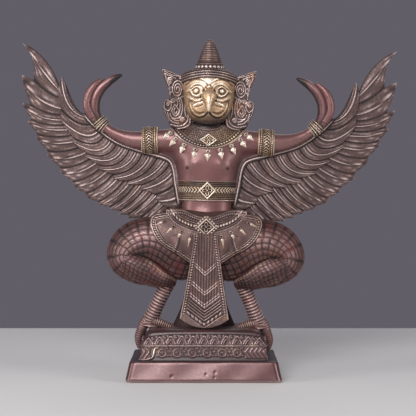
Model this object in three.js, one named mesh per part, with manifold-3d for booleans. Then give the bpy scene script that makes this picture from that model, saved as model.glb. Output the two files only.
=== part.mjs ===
// Cast bronze garuda: a bird-headed, bird-legged man with spread wings, squatting on a carved plinth.
// Millimetres, +Z up. The figure faces -Y, and the origin is the centre of the plinth's underside.
// Two solids: the figure with its wings is one casting, and the plinth that its claws grip is the other.
import * as THREE from "three";
import { ParametricGeometry } from "three/addons/geometries/ParametricGeometry.js";
import { mergeVertices } from "three/addons/utils/BufferGeometryUtils.js";
import Module from "manifold-3d";

const wasm = await Module();
wasm.setup();

// Driving dimensions of the plinth.
const SLAB_WIDTH = 149;
const SLAB_DEPTH = 106;
const SLAB_HEIGHT = 20;
const SLAB_TAPER = 4;
const SLAB_CORNER = 6;
const LEDGE = 7;
const TIER_HEIGHT = 24.5;
const TIER_TAPER = 6;
const TIER_CORNER = 5;
const TIER_DROOP = 4;
const CUSHION_HEIGHT = 4;
const CUSHION_INSET = 2;
const RAIL_HEIGHT = 2;
const RAIL_PROUD = 1.2;
const PETAL_HEIGHT = 8.4;
const PETAL_PITCH = 10.6;
const PETAL_PROUD = 1.6;
const ROSETTE_PITCH = 14.3;
const ROSETTE_RADIUS = 4;
const ROSETTE_PROUD = 1.2;

// Driving dimensions of the figure.
const FIGURE_HEIGHT = 284.5;
const FIGURE_LEAN_DEG = 1.2;
const CAST_GAP = 0.35;
const SIMPLIFY = 0.35;
const WELD = 1e-3;
const FOOT_INSET = 5.5;
const TOE_RADIUS = 4.4;
const TOE_LENGTH = 23;
const REAR_TOE_LENGTH = 27;
const CLAW_REACH = 20;
const SHIN_RINGS = 6;
const SHIN_RING_PROUD = 0.1;
const ARMLET_RADIUS = 12.2;
const WRISTLET_RADIUS = 6;
const BELT_HEIGHT = 18;
const BELT_PROUD = 1.8;
const BUCKLE_SIZE = 8.5;
const HIP_GEM_SIZE = 11.3;
const COLLAR_GEM_SIZE = 7.5;
const COLLAR_DROPS = 9;
const COLLAR_DROP_TURN_DEG = 18.5;
const SASH_THICKNESS = 4;
const SASH_PLEATS = 4;
const SASH_TIERS = 4;
const UPPER_FEATHERS = 9;
const LOWER_FEATHERS = 15;
const UPPER_FACE = 4;
const LOWER_FACE = 1.6;
const WING_BACK = 3.4;
const FEATHER_RIB = 1.5;
const BORDER_RADIUS = 2.4;
const BROW_RADIUS = 1.7;
const SCROLL_RADIUS = 1.7;

// The figure is drawn at this height above the plinth, with its feet at zero, and then scaled.
// Stations of a limb: [x, y, z, half width, half depth]. Sides are drawn for +X and mirrored.
const DRAWN_HEIGHT = 284.5;
const TORSO = [
  [0, 2, 44, 20, 14],
  [0, 2, 60, 28, 19],
  [0, 1, 84, 32, 22],
  [0, 0, 104, 32, 22],
  [0, 0, 120.5, 24.5, 16.5],
  [0, 0, 137, 26.5, 17.5],
  [0, 0, 156, 29, 19],
  [0, 0, 174, 31.5, 19.5],
  [0, 0, 188, 31, 17],
  [0, -1, 197, 22, 14],
  [0, -3, 209, 14, 13],
];
const LAT = [
  [25, 3, 132, 4, 8],
  [29.5, 4, 150, 5.5, 9],
  [33, 4, 164, 7, 9.5],
  [40, 2, 178, 9, 9],
];
const ARM = [
  [16, -2, 184, 12, 13],
  [29.5, -2, 185, 12.6, 12.5],
  [48, -2, 185.6, 10.8, 10.8],
  [64.6, -2, 184.8, 9.8, 9.8],
  [76.4, -2, 186, 8.3, 8.6],
  [88.2, -2, 189.7, 6.4, 7],
  [101, -2, 197.2, 5.2, 5.8],
  [110, -2, 206, 5.4, 5.6],
];
const FINGERS = [
  [109, -2, 203, 5, 5],
  [113.5, -3, 213, 6, 6.4],
  [113, -4, 224, 6.4, 6.4],
  [107, -4, 234, 5.6, 5.6],
  [98, -4, 242, 4.2, 4.4],
  [85, -4, 248.6, 1, 1.4],
];
const THUMB = [
  [111, 0, 204, 4.6, 5],
  [118, 1, 216, 4.4, 5.2],
  [117, 1, 227, 4.4, 5],
  [112, 1, 236.5, 3.6, 4],
  [103.2, 1, 244.3, 1.6, 2],
];
const THIGH = [
  [8, 1, 72, 24, 18],
  [24, -2, 76, 27, 20],
  [42, -5, 83.5, 26, 22],
  [60, -7, 86.5, 23, 21],
  [76, -9, 82, 21.5, 19.5],
  [90, -10, 76, 17, 14],
  [99, -10, 73, 12, 10],
];
const CALF = [
  [88, -11, 70, 13, 13],
  [79, -13, 62.5, 15, 15],
  [66, -13, 57, 14.2, 15],
  [54, -11, 53.6, 12, 13.5],
  [43.6, -8, 50, 10, 11],
  [30, -5, 44, 5, 6.5],
];
const SHIN_TOP = [36.5, -5, 46];
const SHIN_MIDDLE = [45.6, -2, 26];
const SHIN_RADIUS = 7.2;
const TAIL = [
  [0, 7, 88, 17, 9],
  [0, 8, 60, 18, 8.5],
  [0, 9, 42, 19, 7.5],
  [0, 11, 22, 23, 7],
  [0, 13, 5, 30, 8],
  [0, 14, -3, 33, 9],
];
const SKULL = [
  [0, -7, 203.6, 10, 13],
  [0, -8, 209, 18, 20],
  [0, -8, 218, 22.8, 24],
  [0, -8, 230, 24.8, 25.5],
  [0, -8, 241, 25, 25],
  [0, -8, 252, 21, 21],
];
const BEAK = [
  [0, -31, 241, 3, 4],
  [0, -35, 236, 6, 6],
  [0, -39.5, 229, 6.2, 6],
  [0, -41, 221, 3.8, 4],
  [0, -38.5, 214, 1.2, 1.6],
];
// Half profile of the cap about its own upright axis: [radius, height].
const CAP = [
  [0, 242],
  [26, 243],
  [27.6, 245.5],
  [27, 250],
  [22.5, 255],
  [14.6, 258.6],
  [12.4, 261],
  [9.4, 267],
  [6, 275],
  [3.6, 282],
  [0, 284.5],
];
const EAR = [
  [13, 200],
  [38, 199.5],
  [41, 208],
  [45, 215],
  [44, 224.5],
  [38.5, 226.5],
  [39, 234],
  [42.4, 243.5],
  [45.4, 254],
  [31, 249.5],
  [22, 247.5],
];
const EAR_FRONT = -11;
const EAR_BACK = -2;
const EAR_SCROLLS = [
  { middle: [34, 238], radius: 5.6, from: -1.2, turn: 5.6 },
  { middle: [34, 213], radius: 7, from: 0.6, turn: -5.6 },
];
const SCROLL_STEPS = 6;
const EYE_SOCKET = { middle: [11.4, -29.8, 233.7], radii: [6, 3.6, 5.2] };
const EYEBALL = { middle: [11.4, -32.6, 233.7], radii: [2.8, 2, 2.8] };
const CHEEK = { middle: [10, -26, 216], radii: [9.5, 7, 9.5] };
const BROW = [
  [2.5, -34, 236.7],
  [6, -33, 242.2],
  [12.5, -30.4, 244.2],
  [18.5, -26, 241.2],
  [22.5, -21, 234.7],
];
const MOUTH = [
  [18.6, -24, 223],
  [17.2, -29, 215],
  [10, -32, 208.5],
  [4, -31.5, 210.5],
  [0.5, -37, 214.5],
];
const SHIN_FOOT_RISE = 11;
const TOE_SHAPE = [1.05, 1.25, 1.15, 0.95, 0.35];

// Sections of the rings about the trunk: loops of [x reach, y reach, height, sag].
const BELT = { height: 137, halfWidth: 27, halfDepth: 17.8, flare: 0.8 };
const COLLAR = [
  [12, 10, 190, 3],
  [16, 16, 202, 1],
  [27, 19.5, 201.5, 8.5],
  [38, 21.5, 197, 19.4],
  [26, 12, 192, 12],
];
const HIP_BELT = [
  [26, 18, 106, 8],
  [35.5, 25.5, 113.5, 15],
  [36, 27, 116, 12],
  [32, 24, 120, 8],
];
// The collar's drops hang from its rim: outward and down from it, as deep as the shoulders are,
// and further forward on the chest.
const COLLAR_HANG = { out: 2.5, down: 4.5, depth: 13.4, bulge: 5.8 };
const COLLAR_DROP = { length: 9.5, width: 5.6, proud: 2.8 };
const COLLAR_GEM = { height: 186.3, front: -23.5 };
const BUCKLE_FRONT = -21.5;
const HIP_GEM = { height: 102.5, front: -36 };
const SKIRT_DROP = { length: 12, width: 4.4, proud: 2.6 };
// Skirt drops: [x, z, direction in degrees].
const SKIRT_DROPS = [
  [19, 87, -78],
  [28, 91, -58],
  [37, 96, -40],
  [44, 103, -12],
];
const SKIRT_INNER = [
  [8, 0, 112],
  [8, 0, 96],
  [10, 0, 82],
  [13, 0, 67],
];
const SKIRT_OUTER = [
  [36, 0, 115],
  [54, 0, 109],
  [52, 0, 96],
  [42, 0, 83.5],
  [28, 0, 75.5],
  [15, 0, 66.4],
];
const SKIRT_FRONT = 30.5;
const SKIRT_MIDDLE = 86;
const SKIRT_THICKNESS = 5;
const SASH_TOP = { belowGem: 6.5, halfWidth: 11, depth: -31.5 };
const SASH_HEM = { height: 14, halfWidth: 23.5, depth: -27 };
const SASH_POINT_DROP = 9;
const WING_DEPTH = 4.5;
const WING_SWEEP = 12;
const WING_TIP = [186, 278.5];

// Wing lines as stations [feather number, x, z]. Feathers are counted outward along the wing,
// from half a feather before the first rib to half a feather after the last one.
const UPPER_ROOTS = [
  [-0.5, 24, 118],
  [0.3, 28.5, 141],
  [1, 31.5, 159],
  [2, 40, 169.5],
  [3, 56, 174],
  [5, 82, 181],
  [7, 106, 196],
  [8.5, 121, 210.5],
];
const UPPER_BENDS = [
  [-0.5, 29, 116],
  [1, 39, 142],
  [3, 62, 150],
  [5, 90, 156],
  [7, 117, 178],
  [8, 142, 208],
  [8.5, 131, 208],
];
const UPPER_TIPS = [
  [-0.5, 38, 118],
  [1, 63.9, 136],
  [3, 91.6, 146],
  [5, 120, 167.5],
  [7, 145.5, 202.4],
  [8, 145, 246.5],
  [8.5, 145, 246.5],
];
const LOWER_ROOTS = [
  [-0.5, 20, 130],
  [2, 42, 142],
  [5, 70, 152],
  [8, 100, 170],
  [11, 126, 196],
  [13, 136, 214],
  [14, 140, 226],
  [14.5, 141, 214],
];
const LOWER_BENDS = [
  [-0.5, 23, 116],
  [2, 54, 122],
  [5, 86, 126],
  [8, 122, 148],
  [11, 158, 189],
  [13, 166, 214],
  [14, 166, 248],
  [14.5, 151, 266],
];
const LOWER_TIPS = [
  [-0.5, 31, 104],
  [2, 75, 107.5],
  [4, 93, 115.5],
  [6, 116, 126],
  [8, 145, 152],
  [10, 170.5, 186.5],
  [12, 184.5, 220],
  [13, 186, 248],
  [14, ...WING_TIP],
  [14.5, ...WING_TIP],
];

// Derived heights and half widths of the plinth.
const TIER_TOP = SLAB_HEIGHT + TIER_HEIGHT;
const TIER_BASE_X = SLAB_WIDTH / 2 - SLAB_TAPER - LEDGE;
const TIER_BASE_Y = SLAB_DEPTH / 2 - SLAB_TAPER - LEDGE;
const TIER_TOP_X = TIER_BASE_X - TIER_TAPER;
const TIER_TOP_Y = TIER_BASE_Y - TIER_TAPER;
const BAND_BASE = TIER_TOP - PETAL_HEIGHT - 1;
const FIGURE_SCALE = FIGURE_HEIGHT / DRAWN_HEIGHT;

const BACK = new THREE.Vector3(0, 1, 0);
const RIGHT = new THREE.Vector3(1, 0, 0);

// Solid helpers.

// Points and faces of a closed geometry: coincident vertices are merged, collapsed faces are
// dropped, and so are pairs of faces that lie back to back.
function weld(geometry) {
  const bare = geometry.index ? geometry.toNonIndexed() : geometry.clone();
  for (const name of Object.keys(bare.attributes)) {
    if (name !== "position") bare.deleteAttribute(name);
  }
  const merged = mergeVertices(bare, WELD);
  const faces = new Map();
  for (let i = 0; i < merged.index.count; i += 3) {
    const face = [0, 1, 2].map((k) => merged.index.getX(i + k));
    const corners = [...new Set(face)].sort().join();
    if (corners.split(",").length < 3) continue;
    if (!faces.delete(corners)) faces.set(corners, face);
  }
  return { points: merged.attributes.position.array, faces: [...faces.values()] };
}

// A closed geometry as a solid, its faces outward.
function solid(geometry) {
  const { points, faces } = weld(geometry);
  const build = (list) =>
    new wasm.Manifold(
      new wasm.Mesh({ numProp: 3, vertProperties: points, triVerts: new Uint32Array(list.flat()) }),
    );
  const made = build(faces);
  return made.volume() > 0 ? made : build(faces.map(([a, b, c]) => [a, c, b]));
}

function mirrored(geometry) {
  return geometry.clone().scale(-1, 1, 1);
}

function joined(solids) {
  let list = solids;
  while (list.length > 1) {
    const next = [];
    for (let i = 0; i < list.length; i += 2) {
      next.push(i + 1 < list.length ? list[i].add(list[i + 1]) : list[i]);
    }
    list = next;
  }
  return list[0];
}

function meshOf(made, name, material) {
  const m = made.getMesh();
  const positions = new Float32Array(m.numVert * 3);
  for (let i = 0; i < m.numVert; i++) {
    const at = i * m.numProp;
    positions.set(m.vertProperties.subarray(at, at + 3), i * 3);
  }
  const raw = new THREE.BufferGeometry();
  raw.setAttribute("position", new THREE.BufferAttribute(positions, 3));
  raw.setIndex(new THREE.BufferAttribute(new Uint32Array(m.triVerts), 1));
  const { points, faces } = weld(raw);
  const geometry = new THREE.BufferGeometry();
  geometry.setAttribute("position", new THREE.BufferAttribute(points, 3));
  geometry.setIndex(faces.flat());
  geometry.computeVertexNormals();
  const mesh = new THREE.Mesh(geometry, material);
  mesh.name = name;
  return mesh;
}

// Shape helpers.

// Values read smoothly between stations [position, value, value, ...].
function through(stations) {
  const line = new THREE.CubicInterpolant(
    stations.map((s) => s[0]),
    stations.flatMap((s) => s.slice(1)),
    stations[0].length - 1,
  );
  return (at) => Array.from(line.evaluate(at));
}

function curve(points) {
  const vectors = points.map(([x, y, z]) => new THREE.Vector3(x, y, z));
  return new THREE.CatmullRomCurve3(vectors, false, "centripetal");
}

// The rows of a limb: [share of its length, share of its section]. Flat ends close at once; round
// ends open over a share `end` of the length.
function limbRows(steps, end) {
  const rows = [];
  for (let i = 0; i <= steps; i++) {
    if (end === 0) {
      const share = THREE.MathUtils.clamp((i - 1) / (steps - 2), 0, 1);
      rows.push([share, i === 0 || i === steps ? 0 : 1]);
    } else {
      const share = i / steps - (Math.sin((i / steps) * 2 * Math.PI) / (2 * Math.PI)) * 0.7;
      const near = Math.min(1, Math.min(share, 1 - share) / end);
      rows.push([share, Math.sqrt(1 - (1 - near) ** 2)]);
    }
  }
  return rows;
}

// A limb: an oval section carried along stations [x, y, z, half width, half depth].
function limb(stations, { sides = 8, steps = 8, end = 0.12, depth = BACK, grow = () => 1 } = {}) {
  const path = curve(stations);
  const size = curve(stations.map(([, , , a, b]) => [a, b, 0]));
  const rows = limbRows(steps, end);
  const shape = (u, v, target) => {
    const [share, opening] = rows[Math.round(v * steps)];
    const along = path.getTangent(share);
    const across = new THREE.Vector3().crossVectors(along, depth).normalize();
    const deep = new THREE.Vector3().crossVectors(across, along).normalize();
    const open = opening * grow(share);
    const angle = u * Math.PI * 2;
    const s = size.getPoint(share);
    target
      .copy(path.getPoint(share))
      .addScaledVector(across, s.x * open * Math.cos(angle))
      .addScaledVector(deep, s.y * open * Math.sin(angle));
  };
  return new ParametricGeometry(shape, sides, steps);
}

// A raised cord of round section along points.
function cord(points, radius, steps, sides = 4) {
  const stations = points.map((p) => [...p, radius, radius]);
  return limb(stations, { sides, steps, end: 0.05 });
}

// A closed ring about the vertical axis. Its section is a loop of [x reach, y reach, height, sag]:
// the ring hangs lower by its sag at the front and the back.
function girdle(loop, sides) {
  const shape = (u, v, target) => {
    const angle = u * Math.PI * 2;
    const [a, b, height, sag] = loop[Math.round(v * loop.length) % loop.length];
    const drape = Math.abs(Math.sin(angle)) ** 1.6;
    target.set(Math.cos(angle) * a, Math.sin(angle) * b, height - sag * drape);
  };
  return new ParametricGeometry(shape, sides, loop.length);
}

// A closed sheet between a front and a back surface, both functions of (s, t) from 0 to 1.
function sheet(front, back, columns, rows) {
  const shape = (u, v, target) => {
    target.copy(u < 0.5 ? front(u * 2, v) : back(2 - u * 2, v));
  };
  return new ParametricGeometry(shape, columns * 2, rows);
}

// A flat plate from an outline [x, z], between two depths, its front edge beveled.
function plate(outline, frontY, backY, bevel) {
  const shape = new THREE.Shape(outline.map(([x, z]) => new THREE.Vector2(x, z)));
  const geometry = new THREE.ExtrudeGeometry(shape, {
    depth: backY - frontY - 2 * bevel,
    bevelSize: bevel,
    bevelOffset: -bevel,
    bevelThickness: bevel,
    bevelSegments: 1,
  });
  return geometry.rotateX(Math.PI / 2).translate(0, backY - bevel, 0);
}

// A diamond boss on the middle of the trunk, rooted in its axis.
function gem(z, frontY, size) {
  const outline = [
    [-size, z],
    [0, z - size],
    [size, z],
    [0, z + size],
  ];
  return plate(outline, frontY, 0, size * 0.25);
}

function egg({ middle, radii }, sides = 8, rings = 5) {
  return new THREE.SphereGeometry(1, sides, rings).scale(...radii).translate(...middle);
}

// A leaf-shaped drop: a flattened pyramid from its centre towards `angle` in the X-Z plane.
function drop([x, y, z], { length, width, proud }, angle) {
  const geometry = new THREE.ConeGeometry(width / 2, length, 4, 1);
  geometry.scale(1, 1, (proud * 2) / width).rotateX(Math.PI / 2);
  geometry.rotateY(Math.PI / 2 - angle);
  return geometry.translate(x, y, z);
}

// The wing.

// The wing bends back a little towards its tip.
function wingDepth(x) {
  return WING_DEPTH + WING_SWEEP * (x / WING_TIP[0]) ** 2;
}

// A tier of feathers between a root line and a tip line. Each feather rises to a rib and ends in
// its own point; `notch` tells how deep the gap beside a feather is, as a share of its length.
function featherTier({ roots, bends, tips, count, columns, rows, front, back, notch }) {
  const [root, bend, tip] = [roots, bends, tips].map(through);
  const place = (s, v) => {
    const number = s * count - 0.5;
    const fromRib = 2 * Math.abs(number - Math.round(number));
    const t = (1 - (1 - v) ** 1.6) * (1 - notch(s) * fromRib ** 1.3);
    const [a, b, c] = [(1 - t) ** 2, 2 * t * (1 - t), t ** 2];
    const [[rx, rz], [bx, bz], [tx, tz]] = [root(number), bend(number), tip(number)];
    return { x: rx * a + bx * b + tx * c, z: rz * a + bz * b + tz * c, fromRib };
  };
  const surface = (towards, thick, rib) => (s, v) => {
    const p = place(s, v);
    const closed = s <= 0 || s >= 1;
    const taper = Math.sqrt(Math.max(0, 1 - (2 * v - 1) ** 8));
    const proud = closed ? 0 : (thick + rib * (1 - p.fromRib)) * taper;
    return new THREE.Vector3(p.x, wingDepth(p.x) + towards * proud, p.z);
  };
  return sheet(surface(-1, front, FEATHER_RIB), surface(1, back, FEATHER_RIB / 2), count * columns, rows);
}

function wing() {
  const upper = featherTier({
    roots: UPPER_ROOTS,
    bends: UPPER_BENDS,
    tips: UPPER_TIPS,
    count: UPPER_FEATHERS,
    columns: 2,
    rows: 4,
    front: UPPER_FACE,
    back: LOWER_FACE,
    notch: () => 0.1,
  });
  const lower = featherTier({
    roots: LOWER_ROOTS,
    bends: LOWER_BENDS,
    tips: LOWER_TIPS,
    count: LOWER_FEATHERS,
    columns: 2,
    rows: 4,
    front: LOWER_FACE,
    back: WING_BACK,
    notch: (s) => 0.08 + 0.22 * Math.sin(Math.PI * s ** 12),
  });
  const root = through(UPPER_ROOTS);
  const edge = [-0.3, 0.4, 1.1, 2, 3.5, 5.5, 7.2, 8.4].map((number) => {
    const [x, z] = root(number);
    return [x, wingDepth(x) - UPPER_FACE * 0.7, z];
  });
  return [upper, lower, cord(edge, BORDER_RADIUS, 9, 4)];
}

// The arm and its bands.

function armBand(from, to, radius, sides) {
  const path = curve(ARM);
  const stations = [0, 0.5, 1].map((k) => {
    const p = path.getPoint(from + (to - from) * k);
    return [p.x, p.y, p.z, radius, radius];
  });
  return limb(stations, { sides, steps: 4, end: 0 });
}

function arm() {
  return [
    limb(ARM, { sides: 9, steps: 9, end: 0 }),
    limb(FINGERS, { sides: 7, steps: 8, end: 0.03 }),
    limb(THUMB, { sides: 6, steps: 7, end: 0.04 }),
    armBand(0.288, 0.43, ARMLET_RADIUS, 10),
    armBand(0.85, 0.985, WRISTLET_RADIUS, 8),
  ];
}

// The leg: thigh and calf folded together, a ringed shin, and toes that grip the plinth.

function leg() {
  const ankle = [TIER_TOP_X / FIGURE_SCALE - FOOT_INSET, 1, SHIN_FOOT_RISE];
  const rings = (v) => 1 + SHIN_RING_PROUD * Math.cos(v * SHIN_RINGS * 2 * Math.PI);
  const r = SHIN_RADIUS;
  const shin = limb(
    [
      [...SHIN_TOP, r, r],
      [...SHIN_MIDDLE, r * 0.92, r],
      [...ankle, r, r * 1.1],
      [ankle[0] + 1, ankle[1], 3, r, r * 1.1],
    ],
    { sides: 6, steps: SHIN_RINGS * 2 + 2, end: 0, grow: rings },
  );
  return [
    limb(THIGH, { sides: 11, steps: 8, end: 0.1 }),
    limb(CALF, { sides: 9, steps: 7, end: 0.1 }),
    shin,
    ...toes(ankle),
  ];
}

// One toe hooks over the edge of the plinth, one points inward and one points to the rear.
function toes([x, y, top]) {
  const r = TOE_RADIUS;
  const side = TIER_TOP_X / FIGURE_SCALE + r;
  const toe = (points, depth) => {
    const stations = points.map((p, i) => [...p, r * TOE_SHAPE[i], r * TOE_SHAPE[i]]);
    return limb(stations, { sides: 5, steps: 6, end: 0.06, depth });
  };
  const inward = [0, 0.35, 0.6, 0.83, 1].map((k) => [x - k * TOE_LENGTH, y, top - 1.6 * r * k ** 1.6]);
  const rearward = [0, 0.35, 0.63, 0.85, 1].map((k) => [x, y + k * REAR_TOE_LENGTH, top - 1.8 * r * k]);
  const outward = [
    [x, y, top],
    [side - 1.1 * r, y, 1.8 * r],
    [side - 0.1 * r, y, -0.2 * r],
    [side + 0.5 * r, y, -CLAW_REACH / 2],
    [side + 0.3 * r, y, -CLAW_REACH],
  ];
  return [toe(outward, BACK), toe(inward, BACK), toe(rearward, RIGHT)];
}

// The trunk with its belt and collar.

function trunk() {
  const { height, halfWidth, halfDepth, flare } = BELT;
  const belt = girdle(
    [
      [halfWidth * 0.75, halfDepth * 0.7, height, 0],
      ...[-1, 0, 1].map((k) => [
        halfWidth + BELT_PROUD + k * flare,
        halfDepth + BELT_PROUD + k * flare,
        height + (k * BELT_HEIGHT) / 2,
        0,
      ]),
    ],
    16,
  );
  const lat = limb(LAT, { sides: 6, steps: 5, end: 0 });
  return [
    limb(TORSO, { sides: 12, steps: 11, end: 0.04 }),
    lat,
    mirrored(lat),
    belt,
    gem(height, BUCKLE_FRONT, BUCKLE_SIZE),
    ...collar(),
  ];
}

function collar() {
  const [rimX, , rimHeight, sag] = COLLAR[3];
  const { out, down, depth, bulge } = COLLAR_HANG;
  const drops = [];
  for (let i = 0; i < COLLAR_DROPS; i++) {
    const turn = THREE.MathUtils.degToRad((i - (COLLAR_DROPS - 1) / 2) * COLLAR_DROP_TURN_DEG);
    const y = -depth - bulge * Math.cos(turn) ** 8;
    const z = rimHeight - down - sag * Math.cos(turn) ** 1.6;
    drops.push(drop([(rimX + out) * Math.sin(turn), y, z], COLLAR_DROP, turn * 0.8 - Math.PI / 2));
  }
  return [girdle(COLLAR, 16), gem(COLLAR_GEM.height, COLLAR_GEM.front, COLLAR_GEM_SIZE), ...drops];
}

// The hips: a draped belt, the skirt lobes with their drops, the pleated sash, the tail.

function hips() {
  return [
    girdle(HIP_BELT, 16),
    gem(HIP_GEM.height, HIP_GEM.front, HIP_GEM_SIZE),
    sash(),
    limb(TAIL, { sides: 10, steps: 6, end: 0 }),
  ];
}

// The front of the thigh and hip, on which the skirt lies: furthest forward at the skirt's middle.
function skirtDepth(x, z) {
  return -SKIRT_FRONT + (0.35 * (z - SKIRT_MIDDLE) ** 2 + 0.035 * x ** 2) / SKIRT_FRONT;
}

function skirtLobe() {
  const [inner, outer] = [SKIRT_INNER, SKIRT_OUTER].map(curve);
  const drape = (towards) => (s, t) => {
    const p = inner.getPoint(t).lerp(outer.getPoint(t), s);
    const closed = s <= 0 || s >= 1 || t <= 0 || t >= 1;
    const front = SKIRT_THICKNESS * (s > 0.85 ? 0.32 : 0.12);
    const proud = towards < 0 ? -front : SKIRT_THICKNESS;
    p.y = skirtDepth(p.x, p.z) + (closed ? SKIRT_THICKNESS * 0.4 : proud);
    return p;
  };
  return sheet(drape(-1), drape(1), 5, 6);
}

function skirtDrops() {
  return SKIRT_DROPS.map(([x, z, degrees]) => {
    const y = skirtDepth(x, z) - SKIRT_DROP.proud * 0.4;
    return drop([x, y, z], SKIRT_DROP, THREE.MathUtils.degToRad(degrees));
  });
}

function sash() {
  const surface = (towards) => (s, t) => {
    const across = 2 * s - 1;
    const half = THREE.MathUtils.lerp(SASH_TOP.halfWidth, SASH_HEM.halfWidth, t);
    const droop = SASH_POINT_DROP * t * (1 - across ** 2);
    const z = THREE.MathUtils.lerp(HIP_GEM.height - SASH_TOP.belowGem, SASH_HEM.height, t) - droop;
    const middle = THREE.MathUtils.lerp(SASH_TOP.depth, SASH_HEM.depth, t);
    const closed = s <= 0 || s >= 1 || t <= 0 || t >= 1;
    const pleat = SASH_THICKNESS * 0.12 * Math.cos(across * Math.PI * SASH_PLEATS);
    const lap = SASH_THICKNESS * 0.3 * ((t * SASH_TIERS) % 1);
    const thick = SASH_THICKNESS / 2 + (towards < 0 ? pleat + lap : 0);
    return new THREE.Vector3(across * half, middle + (closed ? 0 : towards * thick), z);
  };
  return sheet(surface(-1), surface(1), SASH_PLEATS * 2, SASH_TIERS * 2);
}

// The head: a hooked beak, ringed eyes, arched brows, a grinning mouth line, a cap and ear flames.

function head() {
  const cap = new THREE.LatheGeometry(
    CAP.map(([r, z]) => new THREE.Vector2(r, z)),
    16,
  );
  cap.rotateX(Math.PI / 2).translate(0, SKULL[1][1], 0);
  return [
    limb(SKULL, { sides: 14, steps: 8, end: 0.1 }),
    cap,
    limb(BEAK, { sides: 8, steps: 6, end: 0.06 }),
  ];
}

function halfFace() {
  return [
    cord(BROW, BROW_RADIUS, 6),
    cord(MOUTH, BROW_RADIUS, 6),
    egg(CHEEK, 8, 6),
    egg(EYE_SOCKET),
    egg(EYEBALL, 6, 4),
  ];
}

function scroll({ middle: [x, z], radius, from, turn }) {
  const points = [];
  for (let i = 0; i <= SCROLL_STEPS; i++) {
    const share = i / SCROLL_STEPS;
    const angle = from + turn * share;
    const r = radius * (1 - 0.75 * share);
    points.push([x + Math.cos(angle) * r, EAR_FRONT - SCROLL_RADIUS / 4, z + Math.sin(angle) * r]);
  }
  return cord(points, SCROLL_RADIUS, 8, 3);
}

function ear() {
  return [plate(EAR, EAR_FRONT, EAR_BACK, 1.5), ...EAR_SCROLLS.map(scroll)];
}

// The plinth.

// A rounded rectangle as points [x, y], with the same number of points at any size. Its long
// sides are divided so that they can droop.
function roundedRectangle(halfX, halfY, corner, arc = 2, divisions = 6) {
  const points = [];
  [
    [1, 1],
    [-1, 1],
    [-1, -1],
    [1, -1],
  ].forEach(([sideX, sideY], k) => {
    const [cx, cy] = [sideX * (halfX - corner), sideY * (halfY - corner)];
    for (let i = 0; i <= arc; i++) {
      const angle = ((k + i / arc) * Math.PI) / 2;
      points.push([cx + Math.cos(angle) * corner, cy + Math.sin(angle) * corner]);
    }
    for (let i = 1; i < divisions && k % 2 === 0; i++) {
      points.push([cx - (2 * cx * i) / divisions, sideY * halfY]);
    }
  });
  return points;
}

// Rings [height, half width, half depth, corner, share of the droop] stacked into one solid.
// Towards its two ends the top of the tier droops.
function stack(levels) {
  const rings = levels.map(([z, halfX, halfY, corner, sag = 0]) =>
    roundedRectangle(halfX, halfY, corner).map(
      ([x, y]) => new THREE.Vector3(x, y, z - sag * TIER_DROOP * (x / TIER_TOP_X) ** 4),
    ),
  );
  const cap = (level) => rings[0].map(() => new THREE.Vector3(0, 0, level[0]));
  const all = [cap(levels[0]), ...rings, cap(levels[levels.length - 1])];
  const sides = rings[0].length;
  const shape = (u, v, target) => {
    target.copy(all[Math.round(v * (all.length - 1))][Math.round(u * sides) % sides]);
  };
  return new ParametricGeometry(shape, sides, all.length - 1);
}

// Half width and half depth of the tier's sloping side at a height.
function tierAt(z) {
  const share = (z - SLAB_HEIGHT) / TIER_HEIGHT;
  return [TIER_BASE_X - TIER_TAPER * share, TIER_BASE_Y - TIER_TAPER * share];
}

// Slab and tier as one block, `grow` larger all round.
function plinthBlock(grow = 0) {
  const slab = (z, inward) => [
    z,
    SLAB_WIDTH / 2 - inward + grow,
    SLAB_DEPTH / 2 - inward + grow,
    SLAB_CORNER,
  ];
  const tier = (z, proud, sag = 0) => {
    const [halfX, halfY] = tierAt(z);
    return [z, halfX + proud + grow, halfY + proud + grow, TIER_CORNER, sag];
  };
  const cushion = (z, inward, sag) => [
    z,
    TIER_TOP_X - CUSHION_INSET - inward + grow,
    TIER_TOP_Y - CUSHION_INSET - inward + grow,
    TIER_CORNER,
    sag,
  ];
  return solid(
    stack([
      slab(0, 0.8),
      slab(1.2, 0),
      slab(SLAB_HEIGHT - 1.5 + grow, SLAB_TAPER),
      slab(SLAB_HEIGHT + grow, SLAB_TAPER + 1.5),
      tier(SLAB_HEIGHT + 0.05 + grow, 0),
      tier(BAND_BASE - RAIL_HEIGHT, -0.6),
      tier(BAND_BASE - RAIL_HEIGHT + 0.3, RAIL_PROUD),
      tier(BAND_BASE - 0.3, RAIL_PROUD),
      tier(BAND_BASE, -0.4),
      tier(TIER_TOP, -0.4, 1),
      cushion(TIER_TOP + 0.5 + grow, 0, 0.9),
      cushion(TIER_TOP + CUSHION_HEIGHT * 0.6 + grow, 0, 0.5),
      cushion(TIER_TOP + CUSHION_HEIGHT + grow, CUSHION_HEIGHT, 0.2),
    ]),
  );
}

// Relief that repeats along sides of the tier. Side 0 is the front, and the rest follow in turn.
function alongSides(sides, pitch, margin, height, make) {
  const [halfX, halfY] = tierAt(height);
  const tilt = Math.atan(TIER_TAPER / TIER_HEIGHT);
  const made = [];
  for (const side of sides) {
    const [half, out] = side % 2 === 0 ? [halfX, halfY] : [halfY, halfX];
    const turn = (side * Math.PI) / 2;
    const count = Math.floor((2 * (half - margin)) / pitch);
    for (let i = 0; i <= count; i++) {
      const along = (i - count / 2) * pitch;
      const lower = half === halfX ? TIER_DROOP * 0.6 * (along / TIER_TOP_X) ** 4 : 0;
      const relief = make().rotateX(-tilt).translate(along, -out, height - lower);
      made.push(solid(relief.rotateZ(turn)));
    }
  }
  return made;
}

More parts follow.
